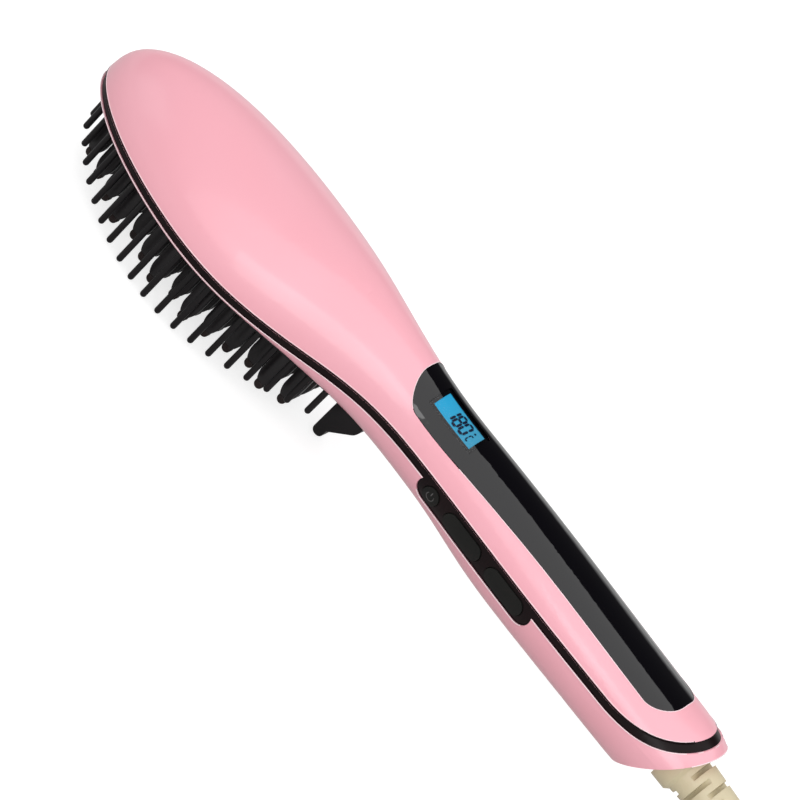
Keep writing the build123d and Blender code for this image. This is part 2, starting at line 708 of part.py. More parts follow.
with BuildPart() as heated_teeth:
    for row in TOOTH_ROWS:
        with BuildSketch(upright(-row)):
            for distance in [x for x, y in TOOTH_PLACES if y == row]:
                tip, nub_top, shoulder = tooth_levels(distance)
                root = TOOTH_LENGTH / 2
                nub = TOOTH_NUB / 2
                top = COMB_LIP_TOP
                with BuildLine():
                    Polyline((distance - root, shoulder), (distance - root, top), (distance + root, top))
                    Line((distance + root, top), (distance + root, shoulder))
                    TangentArc((distance + root, shoulder), (distance + nub, nub_top), tangent=(0, -1))
                    Line((distance + nub, nub_top), (distance - nub, nub_top))
                    TangentArc((distance - root, shoulder), (distance - nub, nub_top), tangent=(0, -1))
                make_face()
        extrude(amount=TOOTH_THICKNESS / 2, both=True)
heated_teeth.part.label = "heated_teeth"
export_step(heated_teeth.part, "parts/heated_teeth.step")

with BuildPart() as tooth_caps:
    for row in TOOTH_ROWS:
        with BuildSketch(upright(-row)):
            for distance in [x for x, y in TOOTH_PLACES if y == row]:
                tip, nub_top, shoulder = tooth_levels(distance)
                nub = TOOTH_NUB / 2
                with BuildLine():
                    Polyline((distance - nub, tip + nub), (distance - nub, nub_top), (distance + nub, nub_top))
                    Line((distance + nub, nub_top), (distance + nub, tip + nub))
                    ThreePointArc((distance - nub, tip + nub), (distance, tip), (distance + nub, tip + nub))
                make_face()
        extrude(amount=TOOTH_THICKNESS / 2, both=True)
tooth_caps.part.label = "tooth_caps"
export_step(tooth_caps.part, "parts/tooth_caps.step")

with BuildPart() as guard_foot:
    foot_end = FOOT_START + FOOT_LENGTH
    nub_top = FOOT_NUB_HEIGHT - FOOT_REACH
    with BuildSketch(upright()):
        with BuildLine():
            FilletPolyline(
                (FOOT_START, FOOT_TOP),
                (FOOT_START, -FOOT_REACH),
                (FOOT_START + FOOT_NUB_WIDTH, -FOOT_REACH),
                (FOOT_START + FOOT_NUB_WIDTH, nub_top),
                (foot_end, nub_top + FOOT_LENGTH - FOOT_NUB_WIDTH),
                (foot_end, FOOT_TOP),
                radius=FOOT_CORNERS,
            )
            Line((foot_end, FOOT_TOP), (FOOT_START, FOOT_TOP))
        make_face()
    extrude(amount=FOOT_THICKNESS / 2, both=True)
    add(OUTER, mode=Mode.SUBTRACT)
guard_foot.part.label = "guard_foot"
export_step(guard_foot.part, "parts/guard_foot.step")


# Heater

PLATE_TOP = COMB_LIP_TOP + PLATE_THICKNESS
ELEMENT_TOP = PLATE_TOP + ELEMENT_THICKNESS
CLAMP_TOP = ELEMENT_TOP + CLAMP_THICKNESS
ELEMENT_END = ELEMENT_START + ELEMENT_LENGTH
ELEMENT_MIDDLE = ELEMENT_START + ELEMENT_LENGTH / 2

with BuildPart() as heater_plate:
    extrude(head_plan(PLATE_INSET, PLATE_END, COMB_LIP_TOP), amount=PLATE_THICKNESS)
    with BuildSketch(level(COMB_LIP_TOP)):
        with Locations(*[(x, 0) for x in HEAD_SCREWS]):
            Circle(BOSS_DIAMETER / 2 + CLAMP_FIT)
        with Locations(*HEATER_SCREW_PLACES):
            Circle(SCREW_DIAMETER / 2 + SCREW_FIT)
    extrude(amount=PLATE_THICKNESS, mode=Mode.SUBTRACT)
heater_plate.part.label = "heater_plate"
export_step(heater_plate.part, "parts/heater_plate.step")

with BuildPart() as heating_element:
    with BuildSketch(level(PLATE_TOP)):
        with Locations((ELEMENT_MIDDLE, 0)):
            Rectangle(ELEMENT_LENGTH, ELEMENT_WIDTH)
    extrude(amount=ELEMENT_THICKNESS)
heating_element.part.label = "heating_element"
export_step(heating_element.part, "parts/heating_element.step")

with BuildPart() as heater_clamps:
    inner = ELEMENT_WIDTH / 2 + CLAMP_FIT
    outer = inner + CLAMP_THICKNESS
    foot = inner + CLAMP_FOOT
    foot_top = PLATE_TOP + CLAMP_THICKNESS
    for column in CLAMP_COLUMNS:
        with BuildSketch(across(TOOTH_FIRST + column * TOOTH_PITCH)):
            with BuildLine():
                Polyline(
                    (-inner, ELEMENT_TOP),
                    (inner, ELEMENT_TOP),
                    (inner, PLATE_TOP),
                    (foot, PLATE_TOP),
                    (foot, foot_top),
                    (outer, foot_top),
                    (outer, CLAMP_TOP),
                    (-outer, CLAMP_TOP),
                    (-outer, foot_top),
                    (-foot, foot_top),
                    (-foot, PLATE_TOP),
                    (-inner, PLATE_TOP),
                    close=True,
                )
            make_face()
        extrude(amount=CLAMP_WIDTH / 2, both=True)
    with BuildSketch(level(PLATE_TOP)):
        with Locations(*HEATER_SCREW_PLACES):
            Circle(SCREW_DIAMETER / 2 + SCREW_FIT)
    extrude(amount=CLAMP_THICKNESS, mode=Mode.SUBTRACT)
heater_clamps.part.label = "heater_clamps"
export_step(heater_clamps.part, "parts/heater_clamps.step")

with BuildPart() as insulation_sheet:
    with BuildSketch(level(CLAMP_TOP)):
        with Locations((ELEMENT_MIDDLE, 0)):
            Rectangle(ELEMENT_LENGTH + 2 * SHEET_MARGIN, SHEET_WIDTH)
    extrude(amount=SHEET_THICKNESS)
insulation_sheet.part.label = "insulation_sheet"
export_step(insulation_sheet.part, "parts/insulation_sheet.step")

SENSOR_SIDE = SHEET_WIDTH / 2 + HEATER_PART_GAP

with BuildPart() as thermistor:
    with BuildSketch(level(PLATE_TOP)):
        with Locations((ELEMENT_MIDDLE, SENSOR_SIDE)):
            RectangleRounded(SENSOR_SIZE[0], SENSOR_SIZE[1], SENSOR_CORNER)
    extrude(amount=SENSOR_SIZE[2])
thermistor.part.label = "thermistor"
export_step(thermistor.part, "parts/thermistor.step")

with BuildPart() as thermal_fuse:
    with BuildSketch(across(ELEMENT_MIDDLE)):
        with Locations((-SENSOR_SIDE, PLATE_TOP + FUSE_DIAMETER / 2 - CLAMP_FIT)):
            Circle(FUSE_DIAMETER / 2)
    extrude(amount=FUSE_LENGTH / 2, both=True)
    with BuildSketch(level(PLATE_TOP)):
        with Locations((ELEMENT_MIDDLE, -SENSOR_SIDE)):
            Rectangle(FUSE_LENGTH, FUSE_DIAMETER)
    extrude(amount=FUSE_DIAMETER, mode=Mode.INTERSECT)
thermal_fuse.part.label = "thermal_fuse"
export_step(thermal_fuse.part, "parts/thermal_fuse.step")


# Screws

def screw_shapes(places, seat, length, head_up):
    """Sketches of the heads and shanks of screws that share one seat, with their amounts."""
    with BuildSketch(level(seat)) as heads:
        with Locations(*places):
            Circle(SCREW_HEAD / 2)
    with BuildSketch(level(seat)) as shanks:
        with Locations(*places):
            Circle(SCREW_DIAMETER / 2)
    way = 1 if head_up else -1
    return (heads.sketch, way * SCREW_HEAD_HEIGHT), (shanks.sketch, -way * length)


HEATER_SCREW_SEAT = PLATE_TOP + CLAMP_THICKNESS
with BuildPart() as heater_screws:
    for sketch, amount in screw_shapes(HEATER_SCREW_PLACES, HEATER_SCREW_SEAT, HEATER_SCREW_LENGTH, True):
        extrude(sketch, amount=amount)
heater_screws.part.label = "heater_screws"
export_step(heater_screws.part, "parts/heater_screws.step")

HEAD_SCREW_SEAT = SCREW_HEAD_HEIGHT + BUTTON_FIT - COMB_FACE_DROP
with BuildPart() as head_screws:
    places = [(x, 0) for x in HEAD_SCREWS]
    for sketch, amount in screw_shapes(places, HEAD_SCREW_SEAT, HEAD_SCREW_LENGTH, False):
        extrude(sketch, amount=amount)
head_screws.part.label = "head_screws"
export_step(head_screws.part, "parts/head_screws.step")

with BuildPart() as handle_screws:
    for x in HANDLE_SCREWS:
        for sketch, amount in screw_shapes([(x, 0)], handle_screw_seat(x), HANDLE_SCREW_LENGTH, False):
            extrude(sketch, amount=amount)
handle_screws.part.label = "handle_screws"
export_step(handle_screws.part, "parts/handle_screws.step")

BOARD_TOP = BOARD_RISE + BOARD_THICKNESS
with BuildPart() as board_screws:
    for sketch, amount in screw_shapes(BOARD_SCREWS, BOARD_TOP, BOARD_SCREW_LENGTH, True):
        extrude(sketch, amount=amount)
board_screws.part.label = "board_screws"
export_step(board_screws.part, "parts/board_screws.step")


# Display, boards and switches

with BuildPart() as control_board:
    with BuildSketch(level(BOARD_RISE)):
        with Locations(((BOARD_START + BOARD_END) / 2, 0)):
            RectangleRounded(BOARD_END - BOARD_START, 2 * BOARD_HALF_WIDTH, BOARD_CORNER)
        with Locations(*BOARD_SCREWS):
            Circle(SCREW_DIAMETER / 2 + SCREW_FIT, mode=Mode.SUBTRACT)
    extrude(amount=BOARD_THICKNESS)
control_board.part.label = "control_board"
export_step(control_board.part, "parts/control_board.step")

SCREEN_BASE = SCREEN_TOP_RISE - SCREEN_MODULE[2]

with BuildPart() as display_holder:
    with BuildSketch(level(BOARD_TOP)):
        with Locations((SCREEN_DISTANCE, 0)):
            Rectangle(*SCREEN_MODULE[:2])
            Rectangle(*[size - 2 * HOLDER_WALL for size in SCREEN_MODULE[:2]], mode=Mode.SUBTRACT)
    extrude(amount=SCREEN_BASE - BOARD_TOP)
display_holder.part.label = "display_holder"
export_step(display_holder.part, "parts/display_holder.step")

with BuildPart() as display_module:
    with BuildSketch(level(SCREEN_BASE)):
        with Locations((SCREEN_DISTANCE, 0)):
            Rectangle(SCREEN_MODULE[0], SCREEN_MODULE[1])
    extrude(amount=SCREEN_MODULE[2])
display_module.part.label = "display_module"
export_step(display_module.part, "parts/display_module.step")

with BuildPart() as board_components:
    for distance, side, length, width, height in (CHIP, CHOKE, TRIAC):
        with BuildSketch(level(BOARD_TOP)):
            with Locations((distance, side)):
                Rectangle(length, width)
        extrude(amount=height)
    with BuildSketch(level(BOARD_RISE)):
        with Locations(FILM_CAPACITOR[:2]):
            Rectangle(*FILM_CAPACITOR[2:4])
    extrude(amount=-FILM_CAPACITOR[4])
    with BuildSketch(level(BOARD_RISE)):
        with Locations(CAPACITOR_PLACE):
            Circle(CAPACITOR_SIZE[0] / 2)
    extrude(amount=-CAPACITOR_SIZE[1])
board_components.part.label = "board_components"
export_step(board_components.part, "parts/board_components.step")

with BuildPart() as key_board:
    with BuildSketch(upright(KEY_BOARD_FACE)):
        with Locations(((PANEL_START + PANEL_END) / 2, BOARD_RISE - KEY_BOARD_HEIGHT / 2)):
            Rectangle(PANEL_END - PANEL_START, KEY_BOARD_HEIGHT)
    extrude(amount=-KEY_BOARD_THICKNESS)
key_board.part.label = "key_board"
export_step(key_board.part, "parts/key_board.step")

with BuildPart() as tact_switches:
    places = [(distance, BUTTON_RISE) for distance, length, height in BUTTONS.values()]
    with BuildSketch(upright(KEY_BOARD_FACE)):
        with Locations(*places):
            Rectangle(SWITCH_BODY[0], SWITCH_BODY[1])
    extrude(amount=SWITCH_BODY[2])
    with BuildSketch(upright(KEY_BOARD_FACE)):
        with Locations(*places):
            Circle(SWITCH_PLUNGER[0])
    extrude(amount=SWITCH_BODY[2] + SWITCH_PLUNGER[1])
tact_switches.part.label = "tact_switches"
export_step(tact_switches.part, "parts/tact_switches.step")


# Swivel, strain relief and inner wires

with BuildPart() as swivel_collar:
    with BuildSketch(across(COLLAR_BACK, CORD_RISE)):
        Circle(COLLAR_FLANGE / 2)
    extrude(amount=COLLAR_FLANGE_THICKNESS)
    with BuildSketch(across(COLLAR_BACK, CORD_RISE)):
        Circle(COLLAR_DIAMETER / 2)
    extrude(amount=COLLAR_LENGTH)
    with BuildSketch(across(COLLAR_BACK, CORD_RISE)):
        Circle(CORE_DIAMETER / 2 + CORE_FIT)
    extrude(amount=COLLAR_LENGTH, mode=Mode.SUBTRACT)
swivel_collar.part.label = "swivel_collar"
export_step(swivel_collar.part, "parts/swivel_collar.step")

CORE_START = COLLAR_BACK - SWIVEL_GAP - CORE_FLANGE_THICKNESS
RELIEF_START = SWIVEL_END + SWIVEL_GAP
RELIEF_END = RELIEF_START + RELIEF_LENGTH

with BuildPart() as swivel_core:
    with BuildSketch(across(CORE_START, CORD_RISE)):
        Circle(CORE_FLANGE / 2)
    extrude(amount=CORE_FLANGE_THICKNESS)
    with BuildSketch(across(CORE_START, CORD_RISE)):
        Circle(CORE_DIAMETER / 2)
    extrude(amount=RELIEF_START - CORE_START)
    with BuildSketch(across(CORE_START, CORD_RISE)):
        Circle(CORE_STUB[0] / 2)
    extrude(amount=-CORE_STUB[1])
swivel_core.part.label = "swivel_core"
export_step(swivel_core.part, "parts/swivel_core.step")

with BuildPart() as strain_relief:
    shoulder_start = RELIEF_START + RELIEF_BASE_LENGTH
    shoulder_end = shoulder_start + RELIEF_SHOULDER[0]
    with BuildSketch(upright()):
        with BuildLine():
            Polyline(
                (RELIEF_START, CORD_RISE),
                (RELIEF_START, CORD_RISE + RELIEF_BASE_DIAMETER / 2),
                (shoulder_start, CORD_RISE + RELIEF_BASE_DIAMETER / 2),
                (shoulder_end, CORD_RISE + RELIEF_SHOULDER[1] / 2),
                (RELIEF_END, CORD_RISE + RELIEF_TIP_DIAMETER / 2),
                (RELIEF_END, CORD_RISE),
                close=True,
            )
        make_face()
    revolve(axis=Axis((0, 0, TRIM_HEIGHT + CORD_RISE), (1, 0, 0)))
    for ring in range(RELIEF_SLOT_COUNT):
        place = shoulder_end + RELIEF_SLOT_WIDTH + ring * RELIEF_SLOT_PITCH
        with BuildSketch(across(place, CORD_RISE)):
            Circle(RELIEF_BASE_DIAMETER)
            if ring % 2:
                Rectangle(2 * RELIEF_CORE_HALF, 2 * RELIEF_BASE_DIAMETER, mode=Mode.SUBTRACT)
            else:
                Rectangle(2 * RELIEF_BASE_DIAMETER, 2 * RELIEF_CORE_HALF, mode=Mode.SUBTRACT)
        extrude(amount=RELIEF_SLOT_WIDTH, mode=Mode.SUBTRACT)
strain_relief.part.label = "strain_relief"
export_step(strain_relief.part, "parts/strain_relief.step")

with BuildPart() as contact_block:
    with BuildSketch(across(BLOCK_FRONT, CORD_RISE)):
        Rectangle(CONTACT_BLOCK[1], CONTACT_BLOCK[2])
    extrude(amount=CONTACT_BLOCK[0])
contact_block.part.label = "contact_block"
export_step(contact_block.part, "parts/contact_block.step")

WIRE_RISE = BOARD_RISE + BOARD_THICKNESS / 2
with BuildPart() as supply_wires:
    with BuildSketch(across(BOARD_END, WIRE_RISE)):
        with Locations((-WIRE_SIDE, 0), (WIRE_SIDE, 0)):
            Circle(WIRE_DIAMETER / 2)
    extrude(amount=BLOCK_FRONT - BOARD_END)
supply_wires.part.label = "supply_wires"
export_step(supply_wires.part, "parts/supply_wires.step")

with BuildPart() as heater_wires:
    for side in (-WIRE_SIDE, WIRE_SIDE):
        with BuildLine(upright(-side)):
            FilletPolyline(
                (ELEMENT_END, PLATE_TOP + ELEMENT_THICKNESS / 2),
                (ELEMENT_END + 2 * WIRE_BEND_RADIUS, PLATE_TOP + ELEMENT_THICKNESS / 2),
                (BOARD_START - 2 * WIRE_BEND_RADIUS, WIRE_RISE),
                (BOARD_START, WIRE_RISE),
                radius=2 * WIRE_BEND_RADIUS,
            )
        with BuildSketch(across(ELEMENT_END, PLATE_TOP + ELEMENT_THICKNESS / 2)):
            with Locations((side, 0)):
                Circle(WIRE_DIAMETER / 2)
        sweep()
heater_wires.part.label = "heater_wires"
export_step(heater_wires.part, "parts/heater_wires.step")


# Mains cord: a lead from the strain relief, a tied hank and a lead to the plug

def spot(distance, side, height):
    """A point given by its distance from the tip, side and height over the floor."""
    return Vector(TIP_X + distance, side, height)


def bend_radii(points):
    """Each corner's largest fair arc, from the shorter of its two runs."""
    radii = []
    for before, corner, after in zip(points, points[1:], points[2:]):
        turn = math.radians((corner - before).get_angle(after - corner))
        shorter = min((corner - before).length, (after - corner).length)
        radii.append(CORD_BEND_SHARE * shorter / math.tan(turn / 2))
    return radii


HANK_LOW = TIE_THICKNESS + TIE_FIT + CORD_DIAMETER / 2
HANK_LIFT = CORD_DIAMETER + HANK_GAP
HANK_TILT = HANK_STEP / 4
HANK_FIRST = HANK_WAIST + HANK_TILT
HANK_WAIST_CENTRE = HANK_FIRST + (HANK_END_OFFSET**2 + HANK_FIRST**2 - HANK_INNER_RADIUS**2) / (
    2 * (HANK_INNER_RADIUS - HANK_FIRST)
)
HANK_SWING = math.atan2(HANK_END_OFFSET, HANK_WAIST_CENTRE)


def hank_spot(turn, end, angle, layer):
    """A point on the round end of one half turn, by its angle from the end's far side."""
    radius = HANK_INNER_RADIUS + turn * HANK_STEP / 2
    middle = HANK_CENTRE[1] + HANK_TILT * (1 - 2 * (turn % 2))
    along = end * (HANK_END_OFFSET + radius * math.cos(angle))
    return spot(HANK_CENTRE[0] + along, middle + end * radius * math.sin(angle), HANK_LOW + layer * HANK_LIFT)


def hank_crossing(turn, side, layer):
    """The point where a run crosses the waist."""
    crossing = HANK_WAIST + turn * HANK_STEP / 2
    return spot(HANK_CENTRE[0], HANK_CENTRE[1] + side * crossing, HANK_LOW + layer * HANK_LIFT)


def half_turn(turn, end, layer):
    """Points of one clockwise half turn round an end, without its waist crossings."""
    reach = math.pi / 2 + HANK_SWING
    return [hank_spot(turn, end, angle, layer) for angle in (reach, 0.0, -reach)]


def arc_meeting(start, start_way, finish, finish_way):
    """Where two arcs meet that join two points and their headings."""
    chord = finish - start
    both_ways = start_way + finish_way
    spread = 4 - both_ways.length**2
    along = chord.dot(both_ways)
    reach = (math.sqrt(along**2 + spread * chord.length**2) - along) / spread
    return (start + start_way * reach + finish - finish_way * reach) * 0.5


def hank_points():
    """Points that the hank's arcs pass: in by the lower layer, out by the upper one."""
    points = [hank_spot(HANK_LOWER_TURNS, -1, -math.pi / 2, 0)]
    points.append(hank_spot(HANK_LOWER_TURNS, -1, -math.pi / 2 - HANK_SWING, 0))
    points.append(hank_crossing(HANK_LOWER_TURNS, 1, 0))
    for turn in reversed(range(HANK_LOWER_TURNS)):
        end = 1 - 2 * (turn % 2)
        points.extend(half_turn(turn, end, 0))
        if turn:
            points.append(hank_crossing(turn, -end, 0))
    climb_start = points[-1]
    climb_end = hank_spot(0, -1, math.pi / 2 + HANK_SWING, 1)
    start_way = Vector(-math.cos(HANK_SWING), math.sin(HANK_SWING), 0)
    end_way = Vector(-math.cos(HANK_SWING), -math.sin(HANK_SWING), 0)
    slope = 2 * math.atan2(HANK_LIFT, climb_start.X - climb_end.X)
    middle_way = Vector(-math.cos(slope), 0, math.sin(slope))
    middle = hank_crossing(0, -1, 0.5)
    points.append(arc_meeting(climb_start, start_way, middle, middle_way))
    points.append(middle)
    points.append(arc_meeting(middle, middle_way, climb_end, end_way))
    for turn in range(HANK_UPPER_TURNS):
        end = 2 * (turn % 2) - 1
        points.extend(half_turn(turn, end, 1))
        points.append(hank_crossing(turn + 1, -end, 1))
    last_end = 2 * (HANK_UPPER_TURNS % 2) - 1
    points.extend(half_turn(HANK_UPPER_TURNS, last_end, 1)[:2])
    points.append(hank_spot(HANK_UPPER_TURNS, last_end, -math.pi / 2, 1))
    return points


HANK_POINTS = hank_points()
STRAIGHT_END = Vector(CORD_DIAMETER, 0, 0)
HANK_ENTRY = HANK_POINTS[0] - STRAIGHT_END
HANK_EXIT = HANK_POINTS[-1] - STRAIGHT_END

with BuildPart() as cord_hank:
    with BuildLine() as hank_route:
        run = Line(HANK_ENTRY, HANK_POINTS[0])
        for point in HANK_POINTS[1:]:
            run = TangentArc(run @ 1, point, tangent=run % 1)
        Line(HANK_POINTS[-1], HANK_EXIT)
    with BuildSketch(Plane(origin=HANK_ENTRY, x_dir=(0, 1, 0), z_dir=(1, 0, 0))):
        Circle(CORD_DIAMETER / 2)
    sweep()
cord_hank.part.label = "cord_hank"
export_step(cord_hank.part, "parts/cord_hank.step")

hank_wire = hank_route.wires()[0]
count = int(hank_wire.length / HANK_POINT_STEP)
trail = [tuple(hank_wire.position_at(step / count)) for step in range(count + 1)]
apart = int(4 * CORD_DIAMETER / HANK_POINT_STEP)
least = min(
    math.dist(trail[first], trail[second])
    for first in range(len(trail))
    for second in range(first + apart, len(trail))
)
print("hank length", round(hank_wire.length, 1), "least gap to itself", round(least - CORD_DIAMETER, 2))

LEAD_START = spot(RELIEF_END, 0, TRIM_HEIGHT + CORD_RISE)
LEAD_POINTS = [LEAD_START, *[spot(*place) for place in LEAD_ROUTE], HANK_ENTRY]
PLUG_POINTS = [HANK_EXIT, *[spot(*place) for place in PLUG_ROUTE + PLUG_END]]

with BuildPart() as cord_lead:
    with BuildLine():
        FilletPolyline(*LEAD_POINTS, radius=bend_radii(LEAD_POINTS))
    with BuildSketch(Plane(origin=LEAD_START, x_dir=(0, 1, 0), z_dir=(1, 0, 0))):
        Circle(CORD_DIAMETER / 2)
    sweep()
cord_lead.part.label = "cord_lead"
export_step(cord_lead.part, "parts/cord_lead.step")

with BuildPart() as plug_lead:
    with BuildLine():
        FilletPolyline(*PLUG_POINTS, radius=bend_radii(PLUG_POINTS))
    with BuildSketch(Plane(origin=HANK_EXIT, x_dir=(0, 1, 0), z_dir=(-1, 0, 0))):
        Circle(CORD_DIAMETER / 2)
    sweep()
plug_lead.part.label = "plug_lead"
export_step(plug_lead.part, "parts/plug_lead.step")

print("lead radii", [round(radius, 1) for radius in bend_radii(LEAD_POINTS) + bend_radii(PLUG_POINTS)])

with BuildPart() as hank_tie:
    near = HANK_WAIST + (HANK_LOWER_TURNS - 1) * HANK_STEP / 2 + CORD_DIAMETER / 2 + TIE_SIDE_FIT
    far = HANK_WAIST + HANK_LOWER_TURNS * HANK_STEP / 2 + CORD_DIAMETER / 2 + TIE_SIDE_FIT
    inner_height = CORD_DIAMETER + HANK_LIFT + 2 * TIE_FIT
    middle = (far - near) / 2
    centre = spot(HANK_CENTRE[0], HANK_CENTRE[1] + middle, TIE_THICKNESS + inner_height / 2)
    with BuildSketch(Plane(origin=centre, x_dir=(0, 1, 0), z_dir=(1, 0, 0))):
        loop = RectangleRounded(near + far, inner_height, TIE_CORNER)
        offset(loop, amount=TIE_THICKNESS)
        add(loop, mode=Mode.SUBTRACT)
    extrude(amount=TIE_WIDTH / 2, both=True)
hank_tie.part.label = "hank_tie"
export_step(hank_tie.part, "parts/hank_tie.step")

PLUG_NECK_END = PLUG_POINTS[-1]
PLUG_HEADING = (PLUG_NECK_END - PLUG_POINTS[-2]).normalized()
PLUG_SIDE = PLUG_HEADING.cross(Vector(0, 0, 1))
PLUG_BACK = PLUG_NECK_END + PLUG_HEADING * PLUG_NECK[0]
PLUG_FACE = PLUG_BACK + PLUG_HEADING * PLUG_LENGTH
print("plug face", PLUG_FACE, "heading", PLUG_HEADING)

with BuildPart() as plug_body:
    with BuildSketch(
        Plane(origin=PLUG_FACE - Vector(0, 0, PLUG_HEIGHT / 2), x_dir=-PLUG_HEADING, z_dir=(0, 0, 1))
    ):
        with BuildLine() as outline:
            Polyline(
                (0, -PLUG_WIDTH / 2),
                (PLUG_SHOULDER, -PLUG_WIDTH / 2),
                (PLUG_LENGTH, -PLUG_BACK_WIDTH / 2),
                (PLUG_LENGTH, PLUG_BACK_WIDTH / 2),
                (PLUG_SHOULDER, PLUG_WIDTH / 2),
                (0, PLUG_WIDTH / 2),
                close=True,
            )
            fillet(outline.vertices(), PLUG_CORNER)
        make_face()
    extrude(amount=PLUG_HEIGHT)
    fillet(plug_body.faces().filter_by(Axis.Z).edges(), PLUG_EDGE)
    with BuildSketch(Plane(origin=PLUG_BACK, x_dir=PLUG_SIDE, z_dir=-PLUG_HEADING)):
        Circle(PLUG_NECK[1] / 2)
    extrude(amount=PLUG_NECK[0])
plug_body.part.label = "plug_body"
export_step(plug_body.part, "parts/plug_body.step")

with BuildPart() as plug_pins:
    with BuildSketch(Plane(origin=PLUG_FACE, x_dir=PLUG_SIDE, z_dir=PLUG_HEADING)):
        with Locations((-PLUG_PIN_SPACING / 2, 0), (PLUG_PIN_SPACING / 2, 0)):
            Circle(PLUG_PIN_DIAMETER / 2)
    extrude(amount=PLUG_PIN_LENGTH)
    fillet(plug_pins.faces().sort_by(Axis.X)[:2].edges(), PLUG_PIN_DIAMETER / 4)
plug_pins.part.label = "plug_pins"
export_step(plug_pins.part, "parts/plug_pins.step")
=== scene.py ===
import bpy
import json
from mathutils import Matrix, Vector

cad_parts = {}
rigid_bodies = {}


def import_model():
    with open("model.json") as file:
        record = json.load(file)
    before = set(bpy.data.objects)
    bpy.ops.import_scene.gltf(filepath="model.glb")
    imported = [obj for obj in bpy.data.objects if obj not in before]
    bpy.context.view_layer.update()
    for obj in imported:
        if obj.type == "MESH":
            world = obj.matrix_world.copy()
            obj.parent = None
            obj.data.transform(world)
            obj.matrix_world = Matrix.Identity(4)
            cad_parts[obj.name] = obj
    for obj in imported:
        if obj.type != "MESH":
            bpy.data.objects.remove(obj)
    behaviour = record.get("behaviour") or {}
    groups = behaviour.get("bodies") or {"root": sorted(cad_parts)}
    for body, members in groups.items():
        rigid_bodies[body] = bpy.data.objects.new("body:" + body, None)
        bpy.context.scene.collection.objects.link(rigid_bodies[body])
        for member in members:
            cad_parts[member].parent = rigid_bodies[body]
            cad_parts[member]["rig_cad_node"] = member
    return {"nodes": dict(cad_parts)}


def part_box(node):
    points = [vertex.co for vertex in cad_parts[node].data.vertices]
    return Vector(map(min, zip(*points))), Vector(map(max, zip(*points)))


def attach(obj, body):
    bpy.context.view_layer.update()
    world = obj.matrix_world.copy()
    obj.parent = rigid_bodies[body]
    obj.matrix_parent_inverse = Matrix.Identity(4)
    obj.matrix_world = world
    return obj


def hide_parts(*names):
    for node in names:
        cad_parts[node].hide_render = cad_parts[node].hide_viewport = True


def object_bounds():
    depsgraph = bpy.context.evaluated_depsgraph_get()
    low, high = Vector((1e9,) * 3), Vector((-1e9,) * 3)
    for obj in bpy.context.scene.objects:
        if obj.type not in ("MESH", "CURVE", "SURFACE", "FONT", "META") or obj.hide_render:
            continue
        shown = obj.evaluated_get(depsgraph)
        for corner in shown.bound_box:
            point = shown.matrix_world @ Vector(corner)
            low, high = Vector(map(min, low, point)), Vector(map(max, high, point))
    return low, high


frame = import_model()
CAD_BOX = [list(corner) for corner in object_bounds()]

import json
import math

import bmesh
import bpy
from mathutils import Matrix, Vector

bl_info = {
    "name": "Hair Straightening Brush",
    "version": (1, 0, 0),
    "blender": (4, 5, 0),
    "location": "View3D > Sidebar > Brush",
    "description": "Dresses a heated comb brush with its finishes, display, cord and studio",
    "category": "Object",
}

MM = 0.001
NODES = frame["nodes"]
TIP_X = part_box("front_frame")[0].x
CORD_AXIS_Z = sum(corner.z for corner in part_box("swivel_collar")) / 2
CORD_RISE = 2.2 * MM
TRIM_Z = CORD_AXIS_Z - CORD_RISE

# Camera, as read from the photograph: above the button side and turned about its own axis
VIEW_BACK = Vector((0.1473, -0.8352, 0.5299))
VIEW_RIGHT = Vector((0.6212, 0.4951, 0.6077))
VIEW_DISTANCE = 1.2656
VIEW_TARGET = Vector((TIP_X + 129.4 * MM, 0.0, TRIM_Z + 5.1 * MM))
LENS = 200.0

# Corners of a copied CAD mesh nearer than this become one
MERGE_DISTANCE = 0.002 * MM
# Two faces that meet at more than this have a corner between them
CORNER_ANGLE = math.radians(35)

# A Mix node's sockets by number, because several of them share a name
MIX_SHARE, MIX_NUMBER_A, MIX_NUMBER_B, MIX_COLOUR_A, MIX_COLOUR_B = 0, 2, 3, 6, 7
MIX_NUMBER_OUT, MIX_COLOUR_OUT = 0, 2


# Small helpers

def deselect():
    if bpy.context.object and bpy.context.object.mode != "OBJECT":
        bpy.ops.object.mode_set(mode="OBJECT")
    bpy.ops.object.select_all(action="DESELECT")


def select_only(*pieces):
    deselect()
    for piece in pieces:
        piece.select_set(True)
    bpy.context.view_layer.objects.active = pieces[0]


def settle(piece, name):
    """Names a piece and puts its place into its mesh."""
    select_only(piece)
    bpy.ops.object.transform_apply(location=True, rotation=True, scale=True)
    piece.name = name
    piece.data.name = name
    return piece


def dress(piece, material, body, slot):
    """Gives a piece its finish and its body; slot is not used."""
    piece.data.materials.clear()
    piece.data.materials.append(material)
    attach(piece, body)


def shape_with(piece, kind, **values):
    """Adds a modifier with the given values and applies it."""
    select_only(piece)
    bpy.ops.object.modifier_add(type=kind)
    for name, value in values.items():
        setattr(piece.modifiers[-1], name, value)
    for modifier in list(piece.modifiers):
        bpy.ops.object.modifier_apply(modifier=modifier.name)


def smooth(piece, degrees=35):
    select_only(piece)
    bpy.ops.object.shade_smooth_by_angle(angle=math.radians(degrees))


def join(pieces):
    select_only(*pieces)
    bpy.ops.object.join()
    return bpy.context.object


def merged_copy(node, name):
    """A copy of a CAD node with merged corners, left in edit mode with all of it selected."""
    select_only(NODES[node])
    bpy.ops.object.duplicate()
    piece = bpy.context.object
    piece.parent = None
    del piece["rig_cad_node"]
    piece.name = name
    piece.data.name = name
    bpy.ops.object.mode_set(mode="EDIT")
    bpy.ops.mesh.select_all(action="SELECT")
    bpy.ops.mesh.remove_doubles(threshold=MERGE_DISTANCE)
    return piece


